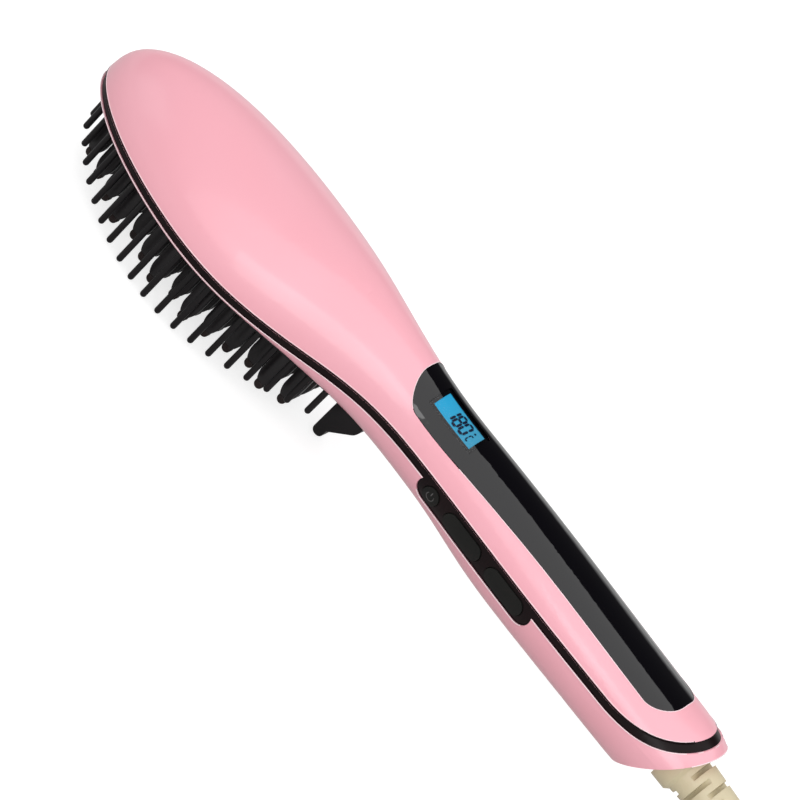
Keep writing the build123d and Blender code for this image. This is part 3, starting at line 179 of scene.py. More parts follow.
def softened_copy(node, name, width, degrees=40):
    """A copy of a CAD node with small rounded edges, which replaces it."""
    piece = merged_copy(node, name)
    bpy.ops.mesh.dissolve_limited(angle_limit=math.radians(1.0))
    bpy.ops.object.mode_set(mode="OBJECT")
    shape_with(
        piece, "BEVEL", width=width, segments=2, limit_method="ANGLE",
        angle_limit=math.radians(degrees),
    )
    smooth(piece)
    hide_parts(node)
    return piece


def edge_bead(node, name, keep, radius, shift=0.0, sink=0.0):
    """A fine bead along the corners of a CAD node that keep() chooses.

    With a shift it lies that far above them, on the wall, its middle sunk into the wall.
    """
    piece = merged_copy(node, name)
    bpy.ops.mesh.select_mode(type="EDGE")
    bpy.ops.mesh.select_all(action="DESELECT")
    mesh = bmesh.from_edit_mesh(piece.data)
    for edge in mesh.edges:
        faces = edge.link_faces
        if len(faces) == 2 and edge.is_convex and edge.calc_face_angle() > CORNER_ANGLE:
            middle = (edge.verts[0].co + edge.verts[1].co) / 2
            edge.select = keep(middle, [face.normal for face in faces])
    bmesh.update_edit_mesh(piece.data)
    bpy.ops.mesh.select_all(action="INVERT")
    bpy.ops.mesh.delete(type="EDGE")
    bpy.ops.object.mode_set(mode="OBJECT")
    if shift:
        for vertex in piece.data.vertices:
            vertex.co.z += shift
        shape_with(
            piece, "SHRINKWRAP", wrap_method="NEAREST_SURFACEPOINT", wrap_mode="ABOVE_SURFACE",
            target=NODES[node], offset=-sink,
        )
    bpy.ops.object.convert(target="CURVE")
    piece = bpy.context.object
    piece.data.bevel_depth = radius
    piece.data.bevel_resolution = 1
    piece.data.use_fill_caps = True
    bpy.ops.object.convert(target="MESH")
    piece = bpy.context.object
    bpy.ops.object.mode_set(mode="EDIT")
    bpy.ops.mesh.select_all(action="SELECT")
    bpy.ops.mesh.remove_doubles(threshold=MERGE_DISTANCE)
    bpy.ops.mesh.normals_make_consistent(inside=False)
    bpy.ops.object.mode_set(mode="OBJECT")
    # A bead on the outermost corners stays inside the object's box
    for vertex in piece.data.vertices:
        vertex.co = [
            min(max(place, low), high) for place, low, high in zip(vertex.co, *CAD_BOX)
        ]
    smooth(piece, 60)
    return piece


# Finishes

def remap(nodes, links, value, before=(0.0, 1.0), after=(0.0, 1.0), smoothed=False):
    """Takes a value from one range to another."""
    node = nodes.new("ShaderNodeMapRange")
    if smoothed:
        node.interpolation_type = "SMOOTHSTEP"
    ends = (*before, *after)
    for name, end in zip(("From Min", "From Max", "To Min", "To Max"), ends):
        node.inputs[name].default_value = end
    links.new(value, node.inputs["Value"])
    return node.outputs["Result"]


def combine(nodes, links, operation, first, second):
    """Joins two values by a Math node."""
    node = nodes.new("ShaderNodeMath")
    node.operation = operation
    links.new(first, node.inputs[0])
    links.new(second, node.inputs[1])
    return node.outputs["Value"]


def grain_group():
    """Fine moulded grain and slow patches, shared by every finish."""
    group = bpy.data.node_groups.get("moulded_grain")
    if group:
        return group
    group = bpy.data.node_groups.new("moulded_grain", "ShaderNodeTree")
    for name, in_out, default in (
        ("Grain Scale", "INPUT", 3000.0), ("Patch Scale", "INPUT", 60.0),
        ("Height", "OUTPUT", 0.0), ("Patches", "OUTPUT", 0.0),
    ):
        socket = group.interface.new_socket(
            name=name, in_out=in_out, socket_type="NodeSocketFloat"
        )
        socket.default_value = default
    nodes, links = group.nodes, group.links
    entry = nodes.new("NodeGroupInput")
    leave = nodes.new("NodeGroupOutput")
    place = nodes.new("ShaderNodeTexCoord")
    grain = nodes.new("ShaderNodeTexNoise")
    grain.inputs["Detail"].default_value = 3.0
    patch = nodes.new("ShaderNodeTexNoise")
    patch.inputs["Detail"].default_value = 1.0
    for noise, name in ((grain, "Grain Scale"), (patch, "Patch Scale")):
        links.new(place.outputs["Object"], noise.inputs["Vector"])
        links.new(entry.outputs[name], noise.inputs["Scale"])
    spread = remap(nodes, links, patch.outputs["Fac"], before=(0.25, 0.75), smoothed=True)
    links.new(grain.outputs["Fac"], leave.inputs["Height"])
    links.new(spread, leave.inputs["Patches"])
    return group


def linear(colour):
    """A colour written as 0 to 255 per channel, for a shader socket."""
    def channel(value):
        share = value / 255
        return share / 12.92 if share <= 0.04045 else ((share + 0.055) / 1.055) ** 2.4

    return tuple(channel(value) for value in colour) + (1.0,)


def finish(name, colour, second, rough, grain=3000.0, patch=60.0, relief=0.02, metallic=0.0,
           coat=0.0, shine=0.5):
    """A moulded, coated or metal finish with grain, patches and two close colours.

    rough is the roughness of the two colours, and relief the grain's height in millimetres.
    """
    material = bpy.data.materials.get(name)
    if material:
        return material
    material = bpy.data.materials.new(name)
    material.use_nodes = True
    nodes, links = material.node_tree.nodes, material.node_tree.links
    shader = nodes["Principled BSDF"]
    shader.inputs["Metallic"].default_value = metallic
    shader.inputs["Specular IOR Level"].default_value = shine
    shader.inputs["Coat Weight"].default_value = coat
    shader.inputs["Coat Roughness"].default_value = 0.06
    texture = nodes.new("ShaderNodeGroup")
    texture.node_tree = grain_group()
    texture.inputs["Grain Scale"].default_value = grain
    texture.inputs["Patch Scale"].default_value = patch
    tint = nodes.new("ShaderNodeMix")
    tint.data_type = "RGBA"
    tint.inputs[MIX_COLOUR_A].default_value = linear(colour)
    tint.inputs[MIX_COLOUR_B].default_value = linear(second)
    bump = nodes.new("ShaderNodeBump")
    bump.inputs["Strength"].default_value = 0.6
    bump.inputs["Distance"].default_value = relief * MM
    links.new(texture.outputs["Patches"], tint.inputs[MIX_SHARE])
    links.new(tint.outputs[MIX_COLOUR_OUT], shader.inputs["Base Color"])
    gloss = remap(nodes, links, texture.outputs["Patches"], after=rough)
    links.new(gloss, shader.inputs["Roughness"])
    links.new(texture.outputs["Height"], bump.inputs["Height"])
    links.new(bump.outputs["Normal"], shader.inputs["Normal"])
    return material


def ramp(nodes, links, axis, start, stop):
    """0 to 1 along an Object axis, between two places in metres."""
    place = nodes.new("ShaderNodeTexCoord")
    split = nodes.new("ShaderNodeSeparateXYZ")
    links.new(place.outputs["Object"], split.inputs[0])
    return remap(nodes, links, split.outputs[axis], before=(start, stop), smoothed=True)


def display_finish(tip_colour, tail_colour, tip_end, tail_end):
    """The lit display, which goes from one blue to another between its two ends."""
    material = finish("lit display", tail_colour, tip_colour, (0.3, 0.38), grain=6000.0,
                      patch=90.0, relief=0.005, shine=0.2)
    nodes, links = material.node_tree.nodes, material.node_tree.links
    shader = nodes["Principled BSDF"]
    tint = shader.inputs["Base Color"].links[0].from_node
    links.new(ramp(nodes, links, "X", tail_end, tip_end), tint.inputs[MIX_SHARE])
    links.new(tint.outputs[MIX_COLOUR_OUT], shader.inputs["Emission Color"])
    shader.inputs["Emission Strength"].default_value = 0.35
    return material


def window_black(name):
    """The gloss black of the window and of the print under it."""
    return finish(name, (5, 4, 8), (4, 3, 7), (0.03, 0.05), grain=900.0, patch=40.0,
                  relief=0.001)


def window_finish(low, high, edge=0.2 * MM, clear_alpha=0.06):
    """Gloss black with a clear field, between two corners, over the display."""
    material = window_black("black window gloss")
    nodes, links = material.node_tree.nodes, material.node_tree.links
    field = None
    for axis, start, stop in (("X", low.x, high.x), ("Y", low.y, high.y)):
        for outer, inner in ((start - edge, start), (stop + edge, stop)):
            share = ramp(nodes, links, axis, outer, inner)
            if field is not None:
                share = combine(nodes, links, "MULTIPLY", field, share)
            field = share
    alpha = remap(nodes, links, field, after=(1.0, clear_alpha))
    links.new(alpha, nodes["Principled BSDF"].inputs["Alpha"])
    return material


def carry(nodes, material):
    """Gives CAD nodes a finish in their own material slots."""
    for node in nodes:
        NODES[node].data.materials.clear()
        NODES[node].data.materials.append(material)


# Settings

class BrushSettings(bpy.types.PropertyGroup):
    shell_colour: bpy.props.FloatVectorProperty(
        name="Shell Colour", description="Pink of the two shells", default=(238, 171, 183),
        size=3, min=0, max=255,
    )
    trim_colour: bpy.props.FloatVectorProperty(
        name="Trim Colour", description="Black of the trim band", default=(17, 7, 9),
        size=3, min=0, max=255,
    )
    cord_colour: bpy.props.FloatVectorProperty(
        name="Cord Colour", description="Cream of the cord and strain relief",
        default=(208, 196, 164), size=3, min=0, max=255,
    )
    display_colour: bpy.props.FloatVectorProperty(
        name="Display Colour", description="Blue of the lit display", default=(30, 142, 184),
        size=3, min=0, max=255,
    )
    cord_diameter: bpy.props.FloatProperty(
        name="Cord Diameter", description="Thickness of the mains cord", default=5.6 * MM,
        unit="LENGTH",
    )
    edge_round: bpy.props.FloatProperty(
        name="Edge Rounding", description="Radius on small moulded edges", default=0.25 * MM,
        unit="LENGTH",
    )
    lamp_power: bpy.props.FloatProperty(
        name="Lamp Power", description="Power of the main soft lamp in watts", default=1.7,
        min=0.0,
    )
    card_power: bpy.props.FloatProperty(
        name="Card Power", description="Power in watts of the large card that only gloss reflects",
        default=21.0, min=0.0,
    )


def settings():
    return bpy.context.scene.brush_settings


# Shells, trim and window

class BRUSH_OT_shells(bpy.types.Operator):
    """Finish the pink shells and the black trim band"""

    bl_idname = "brush.shells"
    bl_label = "Shells and Trim"

    WARM_SHARES = (1.0, 0.985, 0.985)

    def execute(self, context):
        pink = tuple(settings().shell_colour)
        warm = tuple(channel * share for channel, share in zip(pink, self.WARM_SHARES))
        shell = finish("pink gloss shell", pink, warm, (0.29, 0.35), grain=1400.0, patch=30.0,
                       relief=0.004, coat=0.25)
        carry(["back_cover", "front_frame"], shell)
        black = tuple(settings().trim_colour)
        trim = finish("black trim", black, (23, 12, 13), (0.28, 0.36), grain=2600.0,
                      relief=0.006, shine=0.12)
        carry(["trim_band"], trim)
        return {"FINISHED"}


class BRUSH_OT_edges(bpy.types.Operator):
    """Lay fine rounded lips on the shells' rims along the trim and round the window, the pink ones
    coloured paler than the shell as a painted highlight
    """

    bl_idname = "brush.edges"
    bl_label = "Rounded Rims"

    lip: bpy.props.FloatProperty(
        name="Lip", description="Radius of a rim's lip", default=0.17 * MM, unit="LENGTH"
    )
    lip_rise: bpy.props.FloatProperty(
        name="Lip Rise", description="Seam to the middle of the pale lip", default=0.74 * MM,
        unit="LENGTH",
    )
    band: bpy.props.FloatProperty(
        name="Band", description="Radius of the black lip next to the trim", default=0.36 * MM,
        unit="LENGTH",
    )
    band_rise: bpy.props.FloatProperty(
        name="Band Rise", description="Seam to the middle of the black lip", default=0.28 * MM,
        unit="LENGTH",
    )
    band_sink: bpy.props.FloatProperty(
        name="Band Sink", description="Depth of the black lip's middle in the wall",
        default=0.2 * MM, unit="LENGTH",
    )

    # In parts of the lip's radius: the sink of the lip with the painted highlight, and the finer
    # lips' radii
    LIP_SINK = 0.3
    RECESS_LIP = 0.9
    WINDOW_LIP = 0.55
    # Parts of a face's normal: it looks up, it looks along an axis, it is no wall any more
    UPWARD = 0.5
    FACING = 0.7
    LEVEL = 0.93
    # Half widths of the shells' ends and the window's recess, and the slack round a box
    END_HALF_WIDTH = 12 * MM
    RECESS_HALF_WIDTH = 12.5 * MM
    SLACK = 1 * MM

    def outward(self, middle, normal):
        """Whether a wall looks away from the brush's middle plane, or along it at an end."""
        aside = Vector((0.0, middle.y, 0.0)).dot(normal) > 0
        return aside or abs(middle.y) < self.END_HALF_WIDTH and abs(normal.x) > self.FACING

    def seam(self, sign):
        """Chooses the outer corner of a shell's rim: sign is -1 for the cover, 1 for the frame."""
        def keep(middle, normals):
            wall, rim = sorted(normals, key=lambda normal: sign * normal.z)
            corner = sign * rim.z > self.FACING and abs(wall.z) < self.LEVEL
            return corner and self.outward(middle, wall)

        return keep

    def recess(self):
        """Chooses the cover's upper corners round the window, without those by the display."""
        window_low, window_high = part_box("display_window")
        screen_low, screen_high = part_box("display_module")
        slack = self.SLACK

        def keep(middle, normals):
            x, y = middle.x, abs(middle.y)
            inside = window_low.x - slack < x < window_high.x + slack
            inside = inside and y < self.RECESS_HALF_WIDTH
            by_screen = screen_low.x - slack < x < screen_high.x + slack
            by_screen = by_screen and y < screen_high.y + slack
            return inside and not by_screen and self.top(middle, normals)

        return keep

    def top(self, middle, normals):
        """Chooses the corners of faces that look up."""
        return max(normal.z for normal in normals) > self.UPWARD

    def execute(self, context):
        # The pink lips' paler colour is a painted highlight; their rounding also catches real
        # light
        pale = finish("pink lip with painted highlight", (252, 226, 230), (248, 216, 222), (0.18, 0.24),
                      grain=1400.0, relief=0.002)
        dark = finish("dark window edge", (34, 8, 12), (26, 6, 9), (0.3, 0.4),
                      grain=1400.0, relief=0.002, shine=0.1)
        trim = bpy.data.materials["black trim"]
        recess_lip, window_lip = self.RECESS_LIP * self.lip, self.WINDOW_LIP * self.lip
        for node, name, keep, size, material, slot in (
            ("back_cover", "cover_trim_lip", self.seam(-1),
             (self.band, self.band_rise, self.band_sink), trim, "black_trim"),
            ("back_cover", "cover_seam_lip", self.seam(-1),
             (self.lip, self.lip_rise, self.LIP_SINK * self.lip), pale, "pink_shell"),
            ("front_frame", "frame_seam_lip", self.seam(1), (self.lip,), pale, "pink_shell"),
            ("back_cover", "window_recess_lip", self.recess(), (recess_lip,), pale, "pink_shell"),
            ("display_window", "window_edge", self.top, (window_lip,), dark, "window_gloss"),
        ):
            dress(edge_bead(node, name, keep, *size), material, "housing", slot)
        return {"FINISHED"}


class BRUSH_OT_window(bpy.types.Operator):
    """Finish the window and lay its black print and the lit display with its digits under it"""

    bl_idname = "brush.window"
    bl_label = "Window and Display"

    view_length: bpy.props.FloatProperty(
        name="View Length", description="Length of the lit area", default=16.0 * MM,
        unit="LENGTH",
    )
    view_width: bpy.props.FloatProperty(
        name="View Width", description="Width of the lit area", default=6.6 * MM, unit="LENGTH"
    )
    clear_margin: bpy.props.FloatProperty(
        name="Clear Margin", description="Clear field round the lit area", default=1.2 * MM,
        unit="LENGTH",
    )
    view_shift: bpy.props.FloatProperty(
        name="View Shift", description="Lit area's offset to the button side of its module",
        default=3.6 * MM, unit="LENGTH",
    )
    view_advance: bpy.props.FloatProperty(
        name="View Advance", description="Lit area's offset to the tail", default=0.8 * MM,
        unit="LENGTH",
    )
    digit_height: bpy.props.FloatProperty(
        name="Digit Height", description="Height of the large digits", default=4.4 * MM,
        unit="LENGTH",
    )

    # Heights over the window's underside, and the thickness of what is laid there
    BACKING_RISE = 0.66 * MM
    DIGIT_RISE = 0.64 * MM
    SCREEN_RISE = 0.5 * MM
    THICKNESS = 0.01 * MM
    # The backing's size in half sides of the clear field, the screen's in sides of the lit area
    BACKING_SHARE = (2.4, 2.2)
    SCREEN_SHARE = 1.04
    BACKING_CUTS = (60, 36)
    SCREEN_CUTS = (24, 14)
    # Bars of each sign, and its measures in parts of its height
    SEGMENTS = {"1": "bc", "8": "abcdefg", "0": "abcdef", "C": "adef"}
    SIGN_WIDTH = 0.44
    BAR_WIDTH = 0.17
    BAR_GAP = 0.04
    SLANT = 0.12
    PITCH = 0.64
    # The lit area's middle to the first digit's left side, and down to the digits' middle
    FIRST_DIGIT = 3.2 * MM
    DIGIT_DROP = 0.2 * MM
    # The C and the degree sign: places in pitches, other measures in parts of a digit's height
    UNIT_PLACE = 3.2
    UNIT_HEIGHT = 0.5
    DEGREE_PLACE = 3.15
    DEGREE_RISE = 0.8
    DEGREE_RADIUS = 0.08

    def segment(self, middle, long, wide, upright):
        """One six-sided bar of a digit, standing or lying."""
        deselect()
        bpy.ops.mesh.primitive_circle_add(
            vertices=6, radius=0.5, fill_type="NGON", location=(0, 0, 0)
        )
        bar = bpy.context.object
        for vertex in bar.data.vertices:
            along, across = vertex.co.y, vertex.co.x
            # Two of the six corners, at 0.5, become the bar's points
            point = abs(along) > 0.4
            reach = math.copysign(long / 2 - (0 if point else wide / 2), along)
            side = 0.0 if point else math.copysign(wide / 2, across)
            spot = Vector((side, reach, 0)) if upright else Vector((reach, side, 0))
            vertex.co = spot
            vertex.co.x += middle[0] + self.SLANT * (middle[1] + spot.y)
            vertex.co.y += middle[1]
        return bar

    def digit(self, sign, left, base, height):
        """The bars of one seven-bar sign."""
        width = self.SIGN_WIDTH * height
        half = height / 2
        centre, right = left + width / 2, left + width
        lower, upper = base + 0.25 * height, base + 0.75 * height
        spots = {
            "a": ((centre, base + height), False), "g": ((centre, base + half), False),
            "d": ((centre, base), False), "f": ((left, upper), True),
            "b": ((right, upper), True), "e": ((left, lower), True),
            "c": ((right, lower), True),
        }
        bars = []
        for part in self.SEGMENTS[sign]:
            middle, upright = spots[part]
            long = (half if upright else width) - self.BAR_GAP * height
            bars.append(self.segment(middle, long, self.BAR_WIDTH * height, upright))
        return bars

    def lay(self, piece, rise):
        """Curves a flat piece as the window's underside, a little above it, and thickens it."""
        shape_with(
            piece, "SHRINKWRAP", wrap_method="PROJECT", use_project_z=True,
            use_negative_direction=False, use_positive_direction=True,
            target=NODES["display_window"],
        )
        piece.location.z += rise
        bpy.ops.object.transform_apply(location=True, rotation=False, scale=False)
        shape_with(piece, "SOLIDIFY", thickness=self.THICKNESS, offset=-1.0)

    def sheet(self, name, middle, size, cuts):
        """A flat grid below the window."""
        deselect()
        bpy.ops.mesh.primitive_grid_add(
            x_subdivisions=cuts[0], y_subdivisions=cuts[1], size=1.0,
            location=(middle.x, middle.y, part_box("display_module")[0].z),
        )
        piece = bpy.context.object
        piece.scale = (size[0], size[1], 1.0)
        return settle(piece, name)

    def backing(self, middle, reach):
        """The black print under the window, open over the lit area."""
        size = (self.BACKING_SHARE[0] * reach.x, self.BACKING_SHARE[1] * reach.y)
        backing = self.sheet("window_backing", middle, size, self.BACKING_CUTS)
        bpy.ops.object.mode_set(mode="EDIT")
        bpy.ops.mesh.select_mode(type="FACE")
        bpy.ops.mesh.select_all(action="DESELECT")
        bpy.ops.object.mode_set(mode="OBJECT")
        for face in backing.data.polygons:
            offset = face.center - middle
            across = abs(offset.y) < self.view_width / 2
            face.select = abs(offset.x) < self.view_length / 2 and across
        bpy.ops.object.mode_set(mode="EDIT")
        bpy.ops.mesh.delete(type="FACE")
        bpy.ops.object.mode_set(mode="OBJECT")
        self.lay(backing, self.BACKING_RISE)
        smooth(backing, 60)
        dress(backing, window_black("black window print"), "housing", "window_gloss")

    def screen(self, middle):
        """The lit face of the display."""
        length, width = self.view_length, self.view_width
        size = (self.SCREEN_SHARE * length, self.SCREEN_SHARE * width)
        screen = self.sheet("display_face", middle, size, self.SCREEN_CUTS)
        self.lay(screen, self.SCREEN_RISE)
        lit = display_finish(tuple(settings().display_colour), (54, 134, 166),
                             middle.x - length / 2, middle.x + length / 2)
        smooth(screen, 60)
        dress(screen, lit, "housing", "display_blue")

    def digits(self, middle, start):
        """The number and its unit, laid over the lit face from a height below it."""
        height = self.digit_height
        pitch = self.PITCH * height
        left = middle.x - self.FIRST_DIGIT
        base = middle.y - 0.5 * height - self.DIGIT_DROP
        bars = []
        for place, sign in enumerate("180"):
            bars += self.digit(sign, left + place * pitch, base, height)
        bars += self.digit("C", left + self.UNIT_PLACE * pitch, base, self.UNIT_HEIGHT * height)
        spot = (left + self.DEGREE_PLACE * pitch, base + self.DEGREE_RISE * height, 0)
        deselect()
        bpy.ops.mesh.primitive_circle_add(
            vertices=12, radius=self.DEGREE_RADIUS * height, fill_type="NGON", location=spot
        )
        bars.append(bpy.context.object)
        digits = join(bars)
        digits.location.z += start
        settle(digits, "display_digits")
        bpy.ops.object.mode_set(mode="EDIT")
        bpy.ops.mesh.select_all(action="SELECT")
        bpy.ops.mesh.subdivide(number_cuts=2)
        bpy.ops.object.mode_set(mode="OBJECT")
        self.lay(digits, self.DIGIT_RISE)
        ink = finish("display ink", (6, 18, 44), (8, 24, 52), (0.3, 0.4), grain=5000.0,
                     relief=0.002, shine=0.2)
        dress(digits, ink, "housing", "display_blue")

    def execute(self, context):
        low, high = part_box("display_module")
        middle = (low + high) / 2
        middle += Vector((self.view_advance, -self.view_shift, 0.0))
        half_length, half_width = self.view_length / 2, self.view_width / 2
        margin = self.clear_margin
        reach = Vector((half_length + margin, half_width + margin, 0.0))
        carry(["display_window"], window_finish(middle - reach, middle + reach))
        self.backing(middle, reach)
        self.screen(middle)
        self.digits(middle, low.z)
        return {"FINISHED"}


class BRUSH_OT_buttons(bpy.types.Operator):
    """Finish the buttons and put the power sign on the round one"""

    bl_idname = "brush.buttons"
    bl_label = "Buttons"

    # The power sign's ring, open from this height over its middle, and its bar
    RING_RADIUS = 1.35 * MM
    LINE_RADIUS = 0.16 * MM
    OPENING_RISE = 0.95 * MM
    BAR_LENGTH = 1.3 * MM
    BAR_RISE = 1.1 * MM
    # The sign's start before the button, and its height when laid on it
    START = 2 * MM
    PRINT_RISE = 0.03 * MM

    def execute(self, context):
        rubber = finish("soft black button", (24, 24, 23), (29, 29, 27), (0.42, 0.52),
                        grain=3600.0, relief=0.012, shine=0.12)
        carry(["power_button", "temperature_down_button", "temperature_up_button"], rubber)
        low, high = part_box("power_button")
        middle = (low + high) / 2
        front = low.y - self.START
        deselect()
        bpy.ops.mesh.primitive_torus_add(
            location=(middle.x, front, middle.z), rotation=(math.pi / 2, 0, 0),
            major_radius=self.RING_RADIUS, minor_radius=self.LINE_RADIUS,
            major_segments=48, minor_segments=8,
        )
        ring = bpy.context.object
        bpy.ops.object.transform_apply(location=True, rotation=True, scale=True)
        bpy.ops.object.mode_set(mode="EDIT")
        bpy.ops.mesh.select_mode(type="VERT")
        bpy.ops.mesh.select_all(action="DESELECT")
        bpy.ops.object.mode_set(mode="OBJECT")
        for vertex in ring.data.vertices:
            vertex.select = vertex.co.z > middle.z + self.OPENING_RISE
        bpy.ops.object.mode_set(mode="EDIT")
        bpy.ops.mesh.delete(type="VERT")
        bpy.ops.mesh.select_all(action="SELECT")
        bpy.ops.mesh.region_to_loop()
        bpy.ops.mesh.edge_face_add()
        bpy.ops.object.mode_set(mode="OBJECT")
        deselect()
        bpy.ops.mesh.primitive_cylinder_add(
            vertices=10, radius=self.LINE_RADIUS, depth=self.BAR_LENGTH,
            location=(middle.x, front, middle.z + self.BAR_RISE),
        )
        sign = join([ring, bpy.context.object])
        settle(sign, "power_sign")
        shape_with(
            sign, "SHRINKWRAP", wrap_method="PROJECT", use_project_y=True,
            target=NODES["power_button"], wrap_mode="ABOVE_SURFACE", offset=self.PRINT_RISE,
        )
        pale = finish("printed sign", (92, 90, 90), (80, 78, 78), (0.4, 0.5), grain=5000.0,
                      relief=0.004)
        dress(sign, pale, "power_button", "button_black")
        return {"FINISHED"}


# Comb and heater

class BRUSH_OT_comb(bpy.types.Operator):
    """Round and finish the comb frame, pins, heated teeth, their caps and the guard foot"""

    bl_idname = "brush.comb"
    bl_label = "Comb"

    def execute(self, context):
        black = finish("black comb plastic", (12, 9, 11), (17, 13, 15), (0.3, 0.42),
                       grain=2600.0, relief=0.01, shine=0.25)
        coated = finish("coated tooth", (18, 15, 17), (25, 21, 23), (0.28, 0.4),
                        grain=5200.0, relief=0.006, shine=0.35)
        brown = finish("brown cap", (26, 17, 17), (34, 23, 22), (0.4, 0.5), grain=3000.0,
                       relief=0.01, shine=0.25)
        carry(["comb_frame", "comb_pins"], black)
        for node, material, slot in (
            ("heated_teeth", coated, "coated_teeth"), ("tooth_caps", brown, "cap_brown"),
            ("guard_foot", black, "comb_black"),
        ):
            piece = softened_copy(node, node + "_rounded", settings().edge_round)
            dress(piece, material, "housing", slot)
        return {"FINISHED"}


class BRUSH_OT_inside(bpy.types.Operator):
    """Finish the heater, boards and wires inside the shells"""

    bl_idname = "brush.inside"
    bl_label = "Heater and Boards"

    def execute(self, context):
        carry(["heater_plate"], finish(
            "cast aluminium", (196, 197, 200), (184, 185, 189), (0.3, 0.42), grain=2400.0,
            metallic=1.0,
        ))
        carry(["heating_element", "thermistor"], finish(
            "heater ceramic", (226, 220, 205), (214, 206, 190), (0.5, 0.62), grain=3600.0
        ))
        carry(["insulation_sheet"], finish(
            "mica sheet", (190, 172, 130), (172, 152, 112), (0.45, 0.6), grain=900.0,
            patch=200.0,
        ))
        carry(["heater_clamps", "thermal_fuse", "heater_screws", "board_screws"], finish(
            "zinc steel", (176, 178, 182), (160, 162, 167), (0.28, 0.4), grain=5200.0,
            metallic=1.0,
        ))
        carry(["control_board", "key_board"], finish(
            "green board", (18, 92, 52), (14, 80, 46), (0.3, 0.4), grain=1800.0
        ))
        carry(["board_components", "tact_switches"], finish(
            "component black", (34, 34, 35), (44, 44, 46), (0.45, 0.6), grain=4200.0
        ))
        carry(["display_holder", "contact_block", "swivel_collar"], finish(
            "white nylon", (226, 226, 220), (216, 216, 208), (0.38, 0.48), grain=3000.0
        ))
        carry(["supply_wires", "heater_wires"], finish(
            "silicone wire", (172, 40, 34), (154, 32, 28), (0.45, 0.55), grain=3600.0
        ))
        carry(["display_module"], finish(
            "display glass", (40, 120, 170), (34, 104, 152), (0.1, 0.15), grain=3000.0
        ))
        return {"FINISHED"}


class BRUSH_OT_screws(bpy.types.Operator):
    """Model the cross-slotted heads of the screws that show from below"""

    bl_idname = "brush.screws"
    bl_label = "Screws"

    slot_width: bpy.props.FloatProperty(
        name="Slot Width", description="Width of the cross slot", default=0.55 * MM,
        unit="LENGTH",
    )

    SHANK_RADIUS = 1.1 * MM
    # Slot and start of the rim in parts of the head's radius, rounding in parts of its height
    SLOT_LENGTH = 1.35
    RIM_START = 0.9
    HEAD_ROUND = 0.3

    def head(self, place, radius, height):
        deselect()
        bpy.ops.mesh.primitive_cylinder_add(
            vertices=40, radius=radius, depth=height, location=place
        )
        head = bpy.context.object
        shape_with(
            head, "BEVEL", width=self.HEAD_ROUND * height, segments=3, limit_method="ANGLE"
        )
        for turn in (0, math.pi / 2):
            deselect()
            bpy.ops.mesh.primitive_cube_add(
                size=1.0, location=(place[0], place[1], place[2] - height / 2),
                rotation=(0, 0, turn),
            )
            cutter = bpy.context.object
            cutter.scale = (self.SLOT_LENGTH * radius, self.slot_width, height)
            bpy.ops.object.transform_apply(location=True, rotation=True, scale=True)
            shape_with(head, "BOOLEAN", object=cutter, operation="DIFFERENCE")
            bpy.data.objects.remove(cutter)
        return head

    def execute(self, context):
        steel = bpy.data.materials["zinc steel"]
        for node in ("head_screws", "handle_screws"):
            corners = [vertex.co.copy() for vertex in NODES[node].data.vertices]
            low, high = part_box(node)
            heads = []
            for first in (True, False):
                screw = [c for c in corners if (c.x < (low.x + high.x) / 2) == first]
                base, tip = min(c.z for c in screw), max(c.z for c in screw)
                middle = (min(c.x for c in screw) + max(c.x for c in screw)) / 2
                radius = (max(c.y for c in screw) - min(c.y for c in screw)) / 2
                rim = [c.z for c in screw if abs(c.y) > self.RIM_START * radius]
                height = max(rim) - min(rim)
                heads.append(self.head((middle, 0.0, base + height / 2), radius, height))
                deselect()
                bpy.ops.mesh.primitive_cylinder_add(
                    vertices=24, radius=self.SHANK_RADIUS, depth=tip - base - height,
                    location=(middle, 0.0, (tip + base + height) / 2),
                )
                heads.append(bpy.context.object)
            piece = settle(join(heads), node + "_slotted")
            smooth(piece)
            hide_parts(node)
            dress(piece, steel, "housing", "steel")
        return {"FINISHED"}


# Cord

